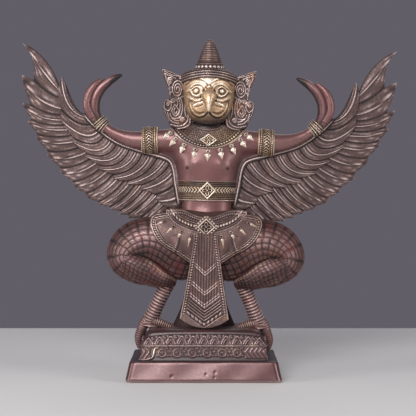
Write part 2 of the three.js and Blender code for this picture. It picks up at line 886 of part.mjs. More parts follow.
function petals(grow = 0) {
  return alongSides([0, 1, 2, 3], PETAL_PITCH, 4, BAND_BASE + PETAL_HEIGHT / 2 - 0.4, () => {
    const petal = new THREE.ConeGeometry(PETAL_PITCH * 0.48 + grow, PETAL_HEIGHT + 2 * grow, 4, 1);
    return petal.scale(1, 1, ((PETAL_PROUD + grow) * 2) / PETAL_PITCH).rotateX(Math.PI / 2);
  });
}

function plinth() {
  const panel = (SLAB_HEIGHT + BAND_BASE - RAIL_HEIGHT) / 2;
  const rosettes = alongSides([0], ROSETTE_PITCH, 12, panel, () =>
    new THREE.CylinderGeometry(ROSETTE_RADIUS, ROSETTE_RADIUS * 0.6, ROSETTE_PROUD * 2, 6),
  );
  return joined([plinthBlock(), ...petals(), ...rosettes]).asOriginal().simplify(SIMPLIFY / 4);
}

// Assembly.

const bronze = new THREE.MeshStandardMaterial({ color: 0x5b4340, roughness: 0.42, metalness: 0.75 });
const plinthBronze = new THREE.MeshStandardMaterial({ color: 0x6e4744, roughness: 0.4, metalness: 0.7 });

// The figure stands with a slight lean on the plinth, whose shape is cut out under its claws.
function figure() {
  const sided = [...wing(), ...arm(), ...leg(), ...ear(), ...halfFace(), skirtLobe(), ...skirtDrops()];
  const shapes = [...trunk(), ...head(), ...hips(), ...sided, ...sided.map(mirrored)];
  const stand = new THREE.Matrix4()
    .makeTranslation(0, 0, TIER_TOP)
    .multiply(new THREE.Matrix4().makeRotationY(THREE.MathUtils.degToRad(FIGURE_LEAN_DEG)))
    .multiply(new THREE.Matrix4().makeScale(FIGURE_SCALE, FIGURE_SCALE, FIGURE_SCALE));
  const whole = joined(shapes.map((shape) => solid(shape.applyMatrix4(stand))));
  const room = joined([plinthBlock(CAST_GAP), ...petals(CAST_GAP)]);
  return whole.subtract(room).asOriginal().simplify(SIMPLIFY);
}

const garuda = new THREE.Group();
garuda.add(meshOf(figure(), "garuda_figure", bronze));
garuda.add(meshOf(plinth(), "plinth", plinthBronze));

export default garuda;
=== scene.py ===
"""Looks of a cast bronze garuda on its plinth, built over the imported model.

Shapes are drawn in millimetres. The figure is drawn upright, with its feet at zero, and is then
stood on the plinth with its slight lean. Sides are drawn for +X and mirrored.
"""

import math

import bpy
import numpy as np
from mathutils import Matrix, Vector
from mathutils.bvhtree import BVHTree


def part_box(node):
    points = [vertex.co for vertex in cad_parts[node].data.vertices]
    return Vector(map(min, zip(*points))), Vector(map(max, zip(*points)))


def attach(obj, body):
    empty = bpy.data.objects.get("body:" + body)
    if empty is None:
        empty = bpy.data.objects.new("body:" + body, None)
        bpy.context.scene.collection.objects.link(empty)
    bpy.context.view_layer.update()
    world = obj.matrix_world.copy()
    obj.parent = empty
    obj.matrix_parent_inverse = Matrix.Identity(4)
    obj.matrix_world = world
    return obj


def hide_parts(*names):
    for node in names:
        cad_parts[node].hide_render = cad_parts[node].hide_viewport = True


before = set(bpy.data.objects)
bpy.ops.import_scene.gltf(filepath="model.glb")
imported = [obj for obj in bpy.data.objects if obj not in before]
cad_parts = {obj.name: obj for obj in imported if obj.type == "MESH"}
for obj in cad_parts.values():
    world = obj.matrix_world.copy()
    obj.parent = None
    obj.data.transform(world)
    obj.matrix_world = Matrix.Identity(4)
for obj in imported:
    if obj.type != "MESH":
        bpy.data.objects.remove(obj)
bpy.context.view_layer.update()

MM = 0.001
CUSHION_HEIGHT = 4.0
TIER_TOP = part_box("plinth")[1][2] / MM - CUSHION_HEIGHT
SLAB_WIDTH = (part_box("plinth")[1][0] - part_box("plinth")[0][0]) / MM
SLAB_DEPTH = (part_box("plinth")[1][1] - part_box("plinth")[0][1]) / MM
LEAN = math.radians(1.2)
TURN = 2 * math.pi
TINY = 1e-9
BACK = np.array([0.0, 1.0, 0.0])
RIGHT = np.array([1.0, 0.0, 0.0])

# Stations of a limb: x, y, z, half width, half depth.
TORSO = [
    (0, 2, 44, 20, 14), (0, 2, 60, 28, 19), (0, 1, 84, 32, 22), (0, 0, 104, 31, 22),
    (0, 0, 120.5, 24.5, 16.5), (0, 0, 137, 26.5, 17.5), (0, 0, 150, 28.2, 19),
    (0, 0, 163, 31, 19.6), (0, 0, 175, 34, 19), (0, 0, 188, 31, 17), (0, -1, 197, 22, 14),
    (0, -3, 209, 14, 13),
]
LAT = [(24, 5, 128, 5, 8), (29, 6, 150, 6.5, 8), (33, 6, 164, 8, 8), (41, 4, 178, 10, 9)]
ARM = [
    (16, -2, 184, 12, 13), (29.5, -2, 185, 12.6, 12.5), (48, -2, 185.6, 10.8, 10.8),
    (64.6, -2, 184.8, 9.8, 9.8), (76.4, -2, 186, 8.3, 8.6), (88.2, -2, 189.7, 6.4, 7),
    (101, -2, 197.2, 5.2, 5.8), (110, -2, 206, 5.4, 5.6),
]
# Bands on the arm: start and end as shares of it, and radius.
ARMLET = (0.29, 0.43, 12.4)
WRISTLET = (0.845, 0.975, 6.6)
FINGERS = [
    (108.5, -2, 203, 5, 5), (112, -2, 213, 5.8, 6.2), (111.6, -2, 224, 6, 6.2),
    (106.4, -2, 234, 5.4, 5.6), (98, -2, 241.6, 4.2, 4.4), (91, -2, 245.8, 3, 3.2),
    (85, -2, 248.4, 1, 1.4),
]
THUMB = [
    (112.6, -4, 205, 3.8, 4.4), (118.4, -6, 216, 4, 4.6), (117.6, -6.4, 227, 4, 4.6),
    (112.8, -6, 236.4, 3.3, 3.8), (104.2, -4.6, 244, 1.5, 1.8),
]
LEG = [
    (8, 1, 72, 24, 18), (24, -2, 76, 27, 20), (42, -5, 83.5, 26, 22), (58, -7, 86.5, 23.5, 21),
    (72, -8, 82.5, 21, 19), (79.5, -9, 75, 17, 16.5), (77.5, -9, 66.5, 15.5, 15),
    (66, -9, 59, 14, 14), (54, -8, 54.4, 11.5, 12), (43.6, -6, 50, 9.4, 10), (32, -4, 45, 5, 6),
]
CALF = [
    (81, -12, 69, 5, 6), (74, -17, 66, 10, 10.4), (66, -18.6, 61.9, 12.4, 12),
    (56, -18, 57.6, 12.2, 12), (44.6, -14, 51.9, 9.6, 10.5), (35, -9.5, 48.6, 6.2, 8),
    (28.6, -6.5, 46.8, 3.6, 5),
]
KNEE_FOLD = [(77, 75.6), (64.4, 74.5), (57, 70.9), (49.6, 66), (40, 58), (28, 50)]
ANKLE = (52.0, 1.0, 11.0)
SHIN = [
    (36.5, -5, 46, 7.2, 7.2), (45.6, -2, 26, 6.6, 7.2), (*ANKLE, 7.2, 7.9), (53, 1, 3, 7.2, 7.9),
]
TOE = 4.4
TOE_SIDE = 57.5 + TOE
TOE_SHAPE = [1.05, 1.25, 1.15, 0.95, 0.35]
TAIL = [
    (0, 7, 88, 17, 9), (0, 8, 60, 18, 8.5), (0, 9, 42, 19, 7.5), (0, 11, 22, 23, 7),
    (0, 13, 5, 30, 8), (0, 14, -3, 33, 9),
]
SKULL = [
    (0, -7, 203.4, 12, 14), (0, -8, 208.6, 19, 20), (0, -8, 218, 22.8, 24),
    (0, -8, 230, 24.8, 25.5), (0, -8, 241, 25, 25), (0, -8, 252, 21, 21),
]
BEAK = [
    (0, -30, 236.4, 0.8, 1.4), (0, -33.4, 232.4, 4.2, 4), (0, -36.4, 227.6, 7.2, 6.4),
    (0, -39.2, 222.4, 4.9, 5.4), (0, -40.2, 217.4, 3, 3.6), (0, -38.4, 212.8, 1.5, 2),
]
# Half profile of the cap about its own axis: radius, height.
CAP = [
    (24, 240.5), (26.6, 241.8), (27.4, 244.4), (27, 247.4), (25.2, 250), (21.8, 252.2),
    (17.6, 254), (14.4, 255.2), (13.5, 256.8), (13.1, 258.8), (11.8, 260.8), (10.9, 263.6),
    (9.7, 267.4), (8.2, 271.8), (5.6, 278), (3.3, 282), (0.1, 284.6),
]
CAP_ARCH = 4.6
CAP_LINES = [(242.2, 1, 0.6), (244.7, 1, 0.6), (247.2, 1, 0.6)]
CAP_LOOPS = 21
CONE_FOOT = 13.6
LOOPS_HEIGHT = 257
# Rows of dots on the cap: first height, upper end, step.
STIPPLE_ROWS = (249.4, 254.4, 1.7)
CHEST_DIMPLE = (19.6, 158.5)
SKIN_VOXEL = 1.35
SKIN_ROUNDS = 18
TONE_ROUNDS = 5

# Wing lines: feather number, x, z. Feathers are counted outward along the wing.
UPPER_ROOTS = [
    (-0.5, 24, 118), (0.3, 28.5, 141), (1, 31.5, 159), (2, 40, 169.5), (3, 56, 174),
    (5, 82, 181), (7, 106, 196), (8.5, 121, 210.5),
]
UPPER_BENDS = [
    (-0.5, 29, 116), (1, 39, 142), (3, 62, 150), (5, 90, 156), (7, 117, 178), (8, 142, 208),
    (8.5, 131, 208),
]
UPPER_TIPS = [
    (-0.5, 38, 118), (1, 63.9, 136), (3, 91.6, 146), (5, 120, 167.5), (7, 145.5, 202.4),
    (7.5, 150, 221), (7.8, 149.6, 236), (8.1, 145, 247), (8.5, 143.6, 247),
]
LOWER_ROOTS = [
    (-0.5, 20, 130), (2, 42, 142), (5, 70, 152), (8, 100, 170), (11, 126, 196), (13, 136, 214),
    (14, 140, 226), (14.5, 141, 214),
]
LOWER_BENDS = [
    (-0.5, 23, 116), (2, 54, 122), (5, 86, 126), (8, 122, 148), (11, 158, 189), (13, 166, 214),
    (14, 166, 248), (14.5, 151, 266),
]
LOWER_TIPS = [
    (-0.5, 31, 104), (2, 75, 107.5), (4, 93, 115.5), (6, 116, 126), (8.2, 145, 152),
    (10.24, 170.5, 186.5), (12.24, 184.5, 220), (13.24, 186, 248), (13.5, 184.6, 259),
    (13.75, 178.6, 267), (14, 180.4, 273.8), (14.24, 186, 279), (14.5, 186, 279),
]
# The wing's border: radius, distance in from the roots and brightness of each cord.
BORDER_CORDS = ((2.0, -0.6, -0.12), (0.9, 2.2, 0.3), (0.8, 3.9, -0.3))
BORDER_PLACES = np.array([-0.3, 0.4, 1.1, 2, 3.5, 5.5, 7.2, 8.4])
BARB_PITCH = 1.1
UPPER_FEATHERS = 9
LOWER_FEATHERS = 15
WING_SPAN = 186

# Lines of the face: height, width and points (x, z).
FACE_LINES = [
    (-1.1, 0.5, [(1.2, 238.2), (6.3, 242.8), (12.8, 244), (18.2, 242.4), (22.6, 238.8)]),
    (0.6, 0.5, [(3, 232.4), (5.4, 237), (9.3, 239.6), (13.1, 239.6), (17.4, 236.8), (21.4, 233.6)]),
    (-0.7, 0.45, [(4.6, 232.4), (6.6, 236.6), (10.4, 238.2), (14, 237.4), (18, 234.4)]),
    (0.8, 0.5, [(7, 230.6), (8.4, 235), (11.9, 236.8), (15.4, 235.7), (18.2, 233.6), (22, 232.4)]),
    (0.8, 0.5, [(18.2, 233.6), (16, 229.8), (12.8, 228.4), (9.2, 229), (7, 230.6)]),
    (-0.8, 0.45, [(20, 231.4), (16, 227.8), (11.6, 226.4), (7, 227.2)]),
    (0.7, 0.9, [(6.4, 225.4), (10.5, 224.6), (15.5, 225), (20.6, 227.4)]),
    (-0.7, 0.45, [(5.8, 223.4), (10.5, 222.4), (15.5, 222.6), (20, 224.6)]),
    (
        -1.2,
        0.6,
        [(19.6, 222.6), (17.6, 215.4), (13.8, 209.8), (9, 207.4), (4.2, 208.6), (0.6, 212.4)],
    ),
    (0.8, 0.5, [(18, 221.6), (16, 215.4), (12.6, 211), (8.2, 209.4), (3.8, 211)]),
    (-0.6, 0.45, [(15.6, 219.6), (13.2, 214.6), (9.4, 211.8), (4.6, 212.6)]),
    (-0.9, 0.6, [(0.6, 238.4), (3.4, 235.4), (6.4, 231.4), (8.2, 227.4), (6.6, 223.4)]),
    (0.8, 0.5, [(14.6, 218.4), (10.4, 220.8), (5.6, 222.2)]),
    (0.6, 0.45, [(13.8, 217.6), (10.6, 214.6), (6.4, 214)]),
    (-0.8, 0.5, [(12.2, 217.8), (9.4, 218.2), (5.8, 219.6)]),
]
EYE = (12.9, 232.8)

# Ears: outline, scrolls (x, z, half width, half height, turns) and strokes.
EAR = [
    (16, 196), (29, 195.5), (37.5, 199), (39.6, 206), (42.6, 210.5), (44.4, 217), (43.8, 222.6),
    (38.6, 226.6), (39.4, 233), (41, 239.5), (44.8, 246.5), (46, 254.6), (38.5, 252.8),
    (31, 250), (22, 247.5), (18, 225),
]
EAR_MIDDLE = (30, 224.5)
EAR_SPIRALS = [
    (30.6, 235, 5.8, 8.8, 2.6), (38.2, 243.4, 2.6, 3.2, 1.5), (34.6, 223.4, 2.8, 2.6, 1.5),
    (39.4, 220.2, 1.9, 2.4, 1.3), (25.4, 205.4, 2.4, 2.6, 1.6), (27.4, 245.6, 1.8, 1.6, 1.1),
]
EAR_STROKES = [
    [(24, 246.4), (31, 247.6), (37, 249.2), (43.6, 251.8)],
    [(32.4, 245), (36, 247.2), (40.6, 248.4), (43.4, 249.8)],
    [(42.4, 247.6), (41.3, 243.4), (38.6, 237.6), (37.4, 229.5)],
    [(36.4, 241.2), (38.8, 239.4)],
    [(36.8, 236.6), (38.9, 235)],
    [(36, 232.4), (38.4, 230.8)],
    [(42.8, 224.6), (36.8, 222.6), (36.2, 217.4), (39.6, 213.6), (42.9, 217.4), (42.8, 224.6)],
    [(32.6, 220.2), (35.6, 213.6), (31.8, 208.6), (28.6, 213.4), (32.6, 220.2)],
    [(32.6, 216.6), (33.4, 213.2), (31.6, 211.2), (30.6, 213.4)],
    [(39.6, 212), (37.6, 206), (33.6, 202.6), (28.6, 202)],
    [(37.4, 211.2), (35.2, 206.8), (31.6, 204.6), (28.6, 204.4)],
    [(36.6, 208.6), (33.4, 206.6), (29.4, 207), (27, 208.6)],
    [(29.4, 226.6), (27.6, 221), (27.8, 214.6), (28.8, 210)],
    [(27.4, 227), (25.4, 220), (25.6, 213), (26.6, 209.6)],
    [(31.6, 226), (29.8, 222), (30.4, 219)],
    [(25, 228), (29, 226.2), (31, 224.2)],
    [(22.6, 222), (23, 214), (21.4, 208)],
    [(20.4, 214), (19.6, 206.6), (23.4, 200.8), (30, 199.2), (36.4, 200.6)],
    [(17.4, 208), (19, 200.6), (23.6, 197.8), (30, 196.6)],
]

# Jewellery. Ridges are listed as place, height, width, and rows of beads as place, pitch, radius.

# Borders of the collar: half width, half depth, height, and how far it hangs lower in front.
COLLAR_INNER = np.array([13.5, 12, 201, 4.5])
COLLAR_OUTER = np.array([37.5, 21, 196.5, 18.6])
COLLAR_RIDGES = [(1.2, 0.7, 0.6), (22.9, 0.7, 0.6), (18.2, 0.6, 0.55)]
COLLAR_BEADS = (20.6, 2.6, 1.2)
COLLAR_DROPS = 9
COLLAR_DROP_STEP = 18.5
COLLAR_FRONT = (0.6, -20, 186.3)
ARMLET_BEADS = (2.9, 2.0, 0.9)
# The waist belt: height, half height, half width and half depth.
BELT_MIDDLE = 137
BELT_HALF = 10
BELT_SIZES = (26.4, 17.4)
BELT_BEADS = (-5.2, 2.1, 0.95)
BELT_FRONT = (0.3, -20, 137.4)
BELT_RIDGES = [
    (9.2, 0.7, 0.5), (7.2, 0.6, 0.45), (5.4, 0.6, 0.45), (3.7, 0.5, 0.4), (-2.4, 0.5, 0.4),
    (-3.6, 0.5, 0.4), (-7.0, 0.6, 0.5), (-9.3, 1.1, 0.9),
]
HIP_HALF = 39
HIP_LOWER = [(-HIP_HALF, 115), (-36.3, 112), (-30.8, 105.9), (-21.2, 100.4), (-13, 97.7), (0, 94.5)]
HIP_UPPER = [(-HIP_HALF, 118.4), (-33.7, 119.2), (-21.2, 118.4), (-14.4, 115.4), (-7.5, 113), (0, 112)]
HIP_RIDGES = [(0.9, 0.8, 0.6), (2.9, 0.6, 0.55), (8.8, 0.7, 0.6)]
HIP_BEADS = (6, 3.4, 1.65)
HIP_TOP_BEADS = (2.9, 2.3, 1.1)
# The band behind: half width, half depth behind and before, height.
HIP_BAND = (32, 22.5, 9.0, 110)
PENDANT = (0, -30.8, 102.6)
# Studs round the pendant: how many a side, step, distance from its middle.
STUDS = (5, 2.9, 7.6)
STUD_SIZE = (1.15, 1.0, 1.15)

# Drops: share of the boss, its hole and how deep that sits, and for the boss and the point below
# it the profile (share of length, half width, half depth), rows, sides, gilding and brightness.
LEAF_HALF = 3.1
LEAF_DROP = {
    "split": 0.42,
    "hole": (0.9, 0.6, 0.9),
    "sunk": 1.75,
    "boss": (
        [
            (0, 0.2, 0.8), (0.3, LEAF_HALF * 0.85, 1.9), (0.7, LEAF_HALF * 0.85, 1.9),
            (1, LEAF_HALF / 2, 0.8),
        ],
        14, 16, 0.25, 0.04,
    ),
    "point": (
        [
            (0, LEAF_HALF / 2, 0.6), (0.14, LEAF_HALF, 0.7), (0.3, LEAF_HALF * 0.86, 1.5),
            (1, 0.15, 0.5),
        ],
        18, 16, 0.6, 0.2,
    ),
}
SPIKE_DROP = {
    "split": 0.32,
    "hole": (1.0, 0.6, 1.0),
    "sunk": 1.5,
    "boss": ([(0, 0.8, 0.8), (0.25, 2.0, 1.6), (0.75, 2.0, 1.6), (1, 1.1, 0.9)], 12, 14, 0.1, 0.0),
    "point": ([(0, 1.1, 0.8), (0.12, 1.7, 1.3), (1, 0.15, 0.3)], 16, 12, 0.5, 0.12),
}

# Skirt and sash: lines of places x, z.
SKIRT_INNER = [(7, 112), (7, 96), (9, 82), (13, 67)]
SKIRT_OUTER = [
    (36, 116), (52, 112), (54, 106), (51, 96), (45.4, 87.5), (38.4, 81.6), (30.4, 77.4),
    (22, 72), (15, 67),
]
SKIRT_FOLD = [(27.5, 100), (26.6, 90), (29.8, 79)]
SKIRT_MIDDLE = 86
HEM_RIDGES = [(0.9, 0.9, 0.6), (5.0, 0.8, 0.6)]
HEM_BEADS = (3.0, 2.5, 1.15)
LAP_TOP = 94
# Drops of the skirt: x, z, direction in degrees, length.
SKIRT_DROPS = [
    (14.4, 96, -78, 13.4), (22.6, 99.6, -60, 13.6), (30, 104, -46, 13.6), (39, 108, -26, 11.5),
]
# The sash: half width and depth are given at its top, with what they gain to its end.
SASH_TOP = 96
SASH_LENGTH = 82
SASH_HALF = (11, 12.5)
SASH_DEPTH = (-31.5, 4.5)
SASH_RIDGES = [(0.7, 0.7, 0.55), (4.5, 0.6, 0.55)]
SASH_BEADS = (2.6, 2.5, 1.15)
SASH_CURLS = (2.6, 3.8, 1.8)
SASH_LAPS = [0, 41, 60, 72]
LAP_RIDGES = [(-1.0, 0.8, 0.65), (-3.6, 0.6, 0.65), (0.8, -0.6, 0.7)]
SASH_RIBS_END = 85

# Plinth.
SLAB_HEIGHT = 20
# The slab's lower and upper edges: height, distance in from its sides.
SLAB_EDGE = [(0, 1.8), (0.5, 0.8), (1.4, 0.2), (3, 0)]
SLAB_SHOULDER = [(18.9, 4.3), (19.5, 4.8), (19.8, 5.6), (20, 6.8)]
SLAB_CORNER = 6
LEDGE = 11
TIER_CORNER = 5
TIER_BASE = (SLAB_WIDTH / 2 - LEDGE, SLAB_DEPTH / 2 - LEDGE)
TIER_TAPER = 6
TIER_END = (TIER_BASE[0] - TIER_TAPER, TIER_BASE[1] - TIER_TAPER)
TIER_DROOP = 4
PLINTH_SIDES = 500
PETAL_PITCH = 10.6
ROSETTE_PITCH = 14.3
ROSETTE_SHIFT = 3.3
ROSETTE_LEVEL = 27.2
ROSETTE_ENDS = (-45, 39.5)
LEAF_END = -51
LEAF_LEVELS = (22, 34)
BAND_BASE = TIER_TOP - 9.4
# Dots between the rosettes (shift, z, radius) and the rail at the left end of the panel.
DOTS = [(-1.7, 24.6, 1.2), (1.7, 24.6, 1.2), (0, 28.2, 1.4), (-2.2, 31.2, 1.1), (2.2, 31.2, 1.1)]
RAIL = [(-70, 21.2), (-53, 21.4), (-49.4, 23), (-47.8, 27.4), (-46.6, 31.4), (-42, 33.2)]
# Pits in the slab's front: x, z, depth. Rubbed brass on the tier: x, z, flatness, size.
PITS = ((-30.6, 6.5, 0.7), (2, 8.4, 0.5), (10.6, 10.2, 0.6), (9.8, 5.4, 0.4))
RUBBED = ((-48, 30, 1.4, 6), (24, 31.6, 2, 8), (46, 34, 2, 5))


# Values over grids.


def circle(count):
    """Even angles round a full turn."""
    return np.linspace(0, TURN, count, endpoint=False)


def clamp(values):
    return np.clip(values, 0, 1)


def fade(values, start, stop):
    """0 at the start and beyond it, rising to 1 at the stop."""
    return clamp((values - start) / (stop - start))


def edge_rise(share, steepness):
    """0 at both ends of a share, 1 between them."""
    return clamp(np.minimum(share, 1 - share) * steepness)


def bump(distance, width):
    return np.exp(-((distance / width) ** 2))


def boss(distance, radius):
    """Height of a round boss at a distance from its middle."""
    return np.sqrt(clamp(1 - (distance / radius) ** 2))


def ridges(values, lines):
    """Ridges at lines of (place, height, width)."""
    return sum(height * bump(values - place, width) for place, height, width in lines)


def off_row(values, pitch):
    """Signed distance of each value from the nearest of an even row of lines."""
    return (values / pitch - np.round(values / pitch)) * pitch


def grooves(values, pitch, width):
    """How near each value is to a line of an even row of lines."""
    return bump(off_row(values, pitch), width)


def beads(along, across, place, pitch, radius):
    """Height of a row of round beads at one place across."""
    return boss(np.hypot(off_row(along, pitch), across - place), radius)


def lattice(along, across, pitch, width):
    """Crossed diagonal ridges with a bead in each field."""
    crossed = np.maximum(grooves(along + across, pitch, width), grooves(along - across, pitch, width))
    return np.maximum(crossed, beads(along, off_row(across, pitch), 0, pitch, pitch * 0.2))


def points_at(x, y, z):
    """Points from coordinates that may be grids, rows, columns or single values."""
    return np.stack(np.broadcast_arrays(x, y, z), -1)


def unit(vectors):
    length = np.linalg.norm(vectors, axis=-1, keepdims=True)
    return vectors / np.maximum(length, TINY)


def distance_run(points):
    """Length along a line of points, at each of them."""
    return np.append(0, np.cumsum(np.linalg.norm(np.diff(points, axis=0), axis=1)))


def through(stations):
    """Values read smoothly between stations (position, value, value, ...)."""
    table = np.asarray(stations, float)
    at, value = table[:, 0], table[:, 1:]
    secant = np.diff(value, axis=0) / np.diff(at)[:, None]
    slope = np.vstack([secant[:1], (secant[1:] + secant[:-1]) / 2, secant[-1:]])

    def read(where):
        where = np.asarray(where, float)
        k = np.clip(np.searchsorted(at, where, side="right") - 1, 0, len(at) - 2)
        reach = (at[k + 1] - at[k])[..., None]
        p = (where - at[k])[..., None] / reach
        return (
            (2 * p**3 - 3 * p**2 + 1) * value[k]
            + (p**3 - 2 * p**2 + p) * reach * slope[k]
            + (3 * p**2 - 2 * p**3) * value[k + 1]
            + (p**3 - p**2) * reach * slope[k + 1]
        )

    return read


def at_shares(stations, share):
    """Stations read at shares of their count."""
    table = np.asarray(stations, float)
    return through(np.column_stack([np.arange(len(table)), table]))(share * (len(table) - 1))


def smooth_line(points, steps=24):
    points = np.asarray(points, float)
    run = distance_run(points)
    return through(np.column_stack([run, points]))(np.linspace(0, run[-1], steps))


def to_line(x, z, line):
    """Distance of each place (x, z) from a line of points (x, z)."""
    p = np.stack([x, z], -1)[..., None, :]
    a, b = line[:-1], line[1:]
    step = b - a
    t = clamp(np.sum((p - a) * step, -1) / np.sum(step * step, -1))
    return np.linalg.norm(p - a - t[..., None] * step, axis=-1).min(-1)


# Shapes: points with faces, and marks that say how each point is finished.

# The shade mark darkens or brightens points: carving, and also painted shade and painted highlights.
MARKS = ("gilt", "shade", "barb")


def spread(value, count):
    """One value for each point, from one number or an array of them."""
    return np.broadcast_to(np.asarray(value, float).reshape(-1), (count,)).copy()


class Shape:
    """A closed surface, turned so that its faces look outward."""

    def __init__(self, points, quads, tris=(), **marks):
        self.points = np.asarray(points, float)
        self.quads = np.asarray(quads, int).reshape(-1, 4)
        self.tris = np.asarray(tris, int).reshape(-1, 3)
        self.marks = {name: spread(marks.get(name, 0.0), len(self.points)) for name in MARKS}
        if self.volume() < 0:
            self.quads, self.tris = self.quads[:, ::-1], self.tris[:, ::-1]

    def volume(self):
        fans = np.vstack([self.quads[:, [0, 1, 2]], self.quads[:, [0, 2, 3]], self.tris])
        a, b, c = (self.points[fans[:, k]] for k in range(3))
        return float(np.einsum("ij,ij->", a, np.cross(b, c)))

    def mirrored(self):
        return Shape(self.points * [-1, 1, 1], self.quads, self.tris, **self.marks)


def mirrored(shapes):
    return [shape.mirrored() for shape in shapes]


def both(shapes):
    return [*shapes, *mirrored(shapes)]


def grid_quads(rows, columns, wrap_rows=False, wrap_columns=True):
    r, c = np.meshgrid(
        np.arange(rows if wrap_rows else rows - 1),
        np.arange(columns if wrap_columns else columns - 1),
        indexing="ij",
    )
    below, beside = (r + 1) % rows, (c + 1) % columns
    corners = [(r, c), (r, beside), (below, beside), (below, c)]
    return np.stack([a * columns + b for a, b in corners], -1).reshape(-1, 4)


def tube(grid, **marks):
    """Rings of points closed at both ends by a pole."""
    rows, columns = grid.shape[:2]
    points = np.vstack([grid.reshape(-1, 3), grid[0].mean(0), grid[-1].mean(0)])
    ring = np.arange(columns)
    after = (ring + 1) % columns
    first, last = rows * columns, rows * columns + 1
    top = (rows - 1) * columns
    tris = [
        np.stack([np.full(columns, first), after, ring], -1),
        np.stack([np.full(columns, last), top + ring, top + after], -1),
    ]
    for name, value in marks.items():
        flat = spread(value, rows * columns)
        marks[name] = np.append(flat, [flat[0], flat[-1]])
    return Shape(points, grid_quads(rows, columns), np.vstack(tris), **marks)


def torus(grid, **marks):
    """Rings of points joined end to end."""
    rows, columns = grid.shape[:2]
    return Shape(grid.reshape(-1, 3), grid_quads(rows, columns, True, True), **marks)


def shell(front, back, **marks):
    """A closed sheet between two grids of the same size, joined round their borders."""
    rows, columns = front.shape[:2]
    count = rows * columns
    index = np.arange(count).reshape(rows, columns)
    rim = np.concatenate([index[0, :-1], index[:-1, -1], index[-1, :0:-1], index[:0:-1, 0]])
    after = np.roll(rim, -1)
    quads = grid_quads(rows, columns, False, False)
    wall = np.stack([rim, rim + count, after + count, after], -1)
    points = np.vstack([front.reshape(-1, 3), back.reshape(-1, 3)])
    marks = {name: np.tile(spread(value, count), 2) for name, value in marks.items()}
    return Shape(points, np.vstack([quads, quads[:, ::-1] + count, wall[:, ::-1]]), **marks)


def plate(front, back, **marks):
    """A sheet with a carved front. Its plain back has one point in ten of each row."""
    behind = back[:, ::-10]
    rows, columns = front.shape[:2]
    for name, value in marks.items():
        face_side = spread(value, rows * columns).reshape(rows, columns)
        marks[name] = np.hstack([face_side, np.zeros(behind.shape[:2])])
    return tube(np.hstack([front, behind]), **marks)


def grid_normals(grid):
    """Directions square to a grid of rings."""
    around = np.roll(grid, -1, 1) - np.roll(grid, 1, 1)
    return unit(np.cross(around, np.gradient(grid, axis=0)))


def directions(centres, depth=BACK):
    """Directions across and deep, square to a line of centres."""
    along = unit(np.gradient(centres, axis=0))
    across = unit(np.cross(along, depth))
    return across, unit(np.cross(across, along))


def limb(stations, sides, steps, end, depth=BACK, relief=None, lit=0.0, **marks):
    """An oval section carried along stations.

    end is the share of the length over which each end is rounded. relief(points, length, angle)
    raises the surface, and lit is how far it also brightens it.
    """
    even = np.linspace(0, 1, steps + 1)
    share = even - (np.sin(TURN * even) / TURN * 0.6 if end else 0)
    values = at_shares(stations, share)
    middle = values[:, None, :3]
    across, deep = directions(values[:, :3], depth)
    opening = np.ones_like(share)
    if end:
        near = np.minimum(1, np.minimum(share, 1 - share) / end)
        opening = np.sqrt(1 - (1 - near) ** 2)
    angle = circle(sides)
    wide = (values[:, 3] * opening)[:, None, None] * np.cos(angle)[None, :, None]
    thick = (values[:, 4] * opening)[:, None, None] * np.sin(angle)[None, :, None]
    grid = middle + across[:, None] * wide + deep[:, None] * thick
    if relief is not None:
        outward = grid_normals(grid)
        side = np.sign(np.sum(outward * (grid - middle), -1).mean())
        length = distance_run(values[:, :3])[:, None]
        amount = relief(grid, length, angle[None, :]) + np.zeros(grid.shape[:2])
        marks["shade"] = spread(marks.get("shade", 0.0), amount.size) + lit * amount.reshape(-1)
        amount = amount * np.minimum(1, opening * 2)[:, None]
        grid = grid + outward * side * amount[..., None]
    return tube(grid, **marks)


def dome(middle, radii, sides, rows, **marks):
    """A small ellipsoid."""
    turn, angle = np.linspace(0, math.pi, rows + 1)[:, None], circle(sides)[None, :]
    ball = points_at(np.sin(turn) * np.cos(angle), np.sin(turn) * np.sin(angle), np.cos(turn))
    return tube(ball * radii + np.asarray(middle, float), **marks)


# The body.


def body_skin():
    """Trunk and arms in one smooth skin. The hands are laid on it."""
    arm = [limb(ARM, 32, 60, 0), limb(LAT, 24, 24, 0)]
    chest = [dome((12, 0, 163), (17, 20.6, 14), 24, 16)]
    trunk = limb(TORSO, 48, 60, 0.04)
    made = skin([trunk, *both(arm), *both(chest)], SKIN_VOXEL, SKIN_ROUNDS)
    x, y, z = made.points.T
    x = np.abs(x)
    r = np.hypot(x - CHEST_DIMPLE[0], z - CHEST_DIMPLE[1])
    made.points[:, 1] += 0.9 * bump(r, 1.3) * (y < -8)
    # Painted shadow under the chin, and painted shade down the sides of the torso.
    chin_shadow = fade(z, 196, 201) * (x < 24)
    side = fade(x, 19, 29) * fade(z, 174, 164) * (z > 110) * (0.3 + 0.7 * fade(y, -10, -2))
    made.marks["shade"] = -0.5 * bump(r, 1.2) * (y < -8) - 0.6 * chin_shadow - 0.34 * side
    return made


def hand():
    """The thumb laid over the fingers, with painted shade in the crease between them."""
    fingers = limb(FINGERS, 36, 70, 0.03)
    x, _, z = fingers.points.T
    crease = to_line(x, z, smooth_line([(p[0] - p[3], p[2]) for p in THUMB]))
    middle = np.interp(z, [p[2] for p in FINGERS], [p[0] for p in FINGERS])
    # Painted highlight on the fingers' outer side and painted shade on the inner side; darker toward
    # the tip.
    lit = 0.24 * np.clip((x - middle) / 5, -1, 1)
    fingers.marks["shade"] = lit - 0.3 * bump(crease, 1.3) - 0.4 * fade(x, 98, 91) - 0.08
    return [fingers, limb(THUMB, 32, 60, 0.04, shade=-0.03)]


# The wings.


def wing_depth(x):
    """How far the wing's middle lies back: it sweeps back toward the tip."""
    return 4.5 + 12 * (x / WING_SPAN) ** 2


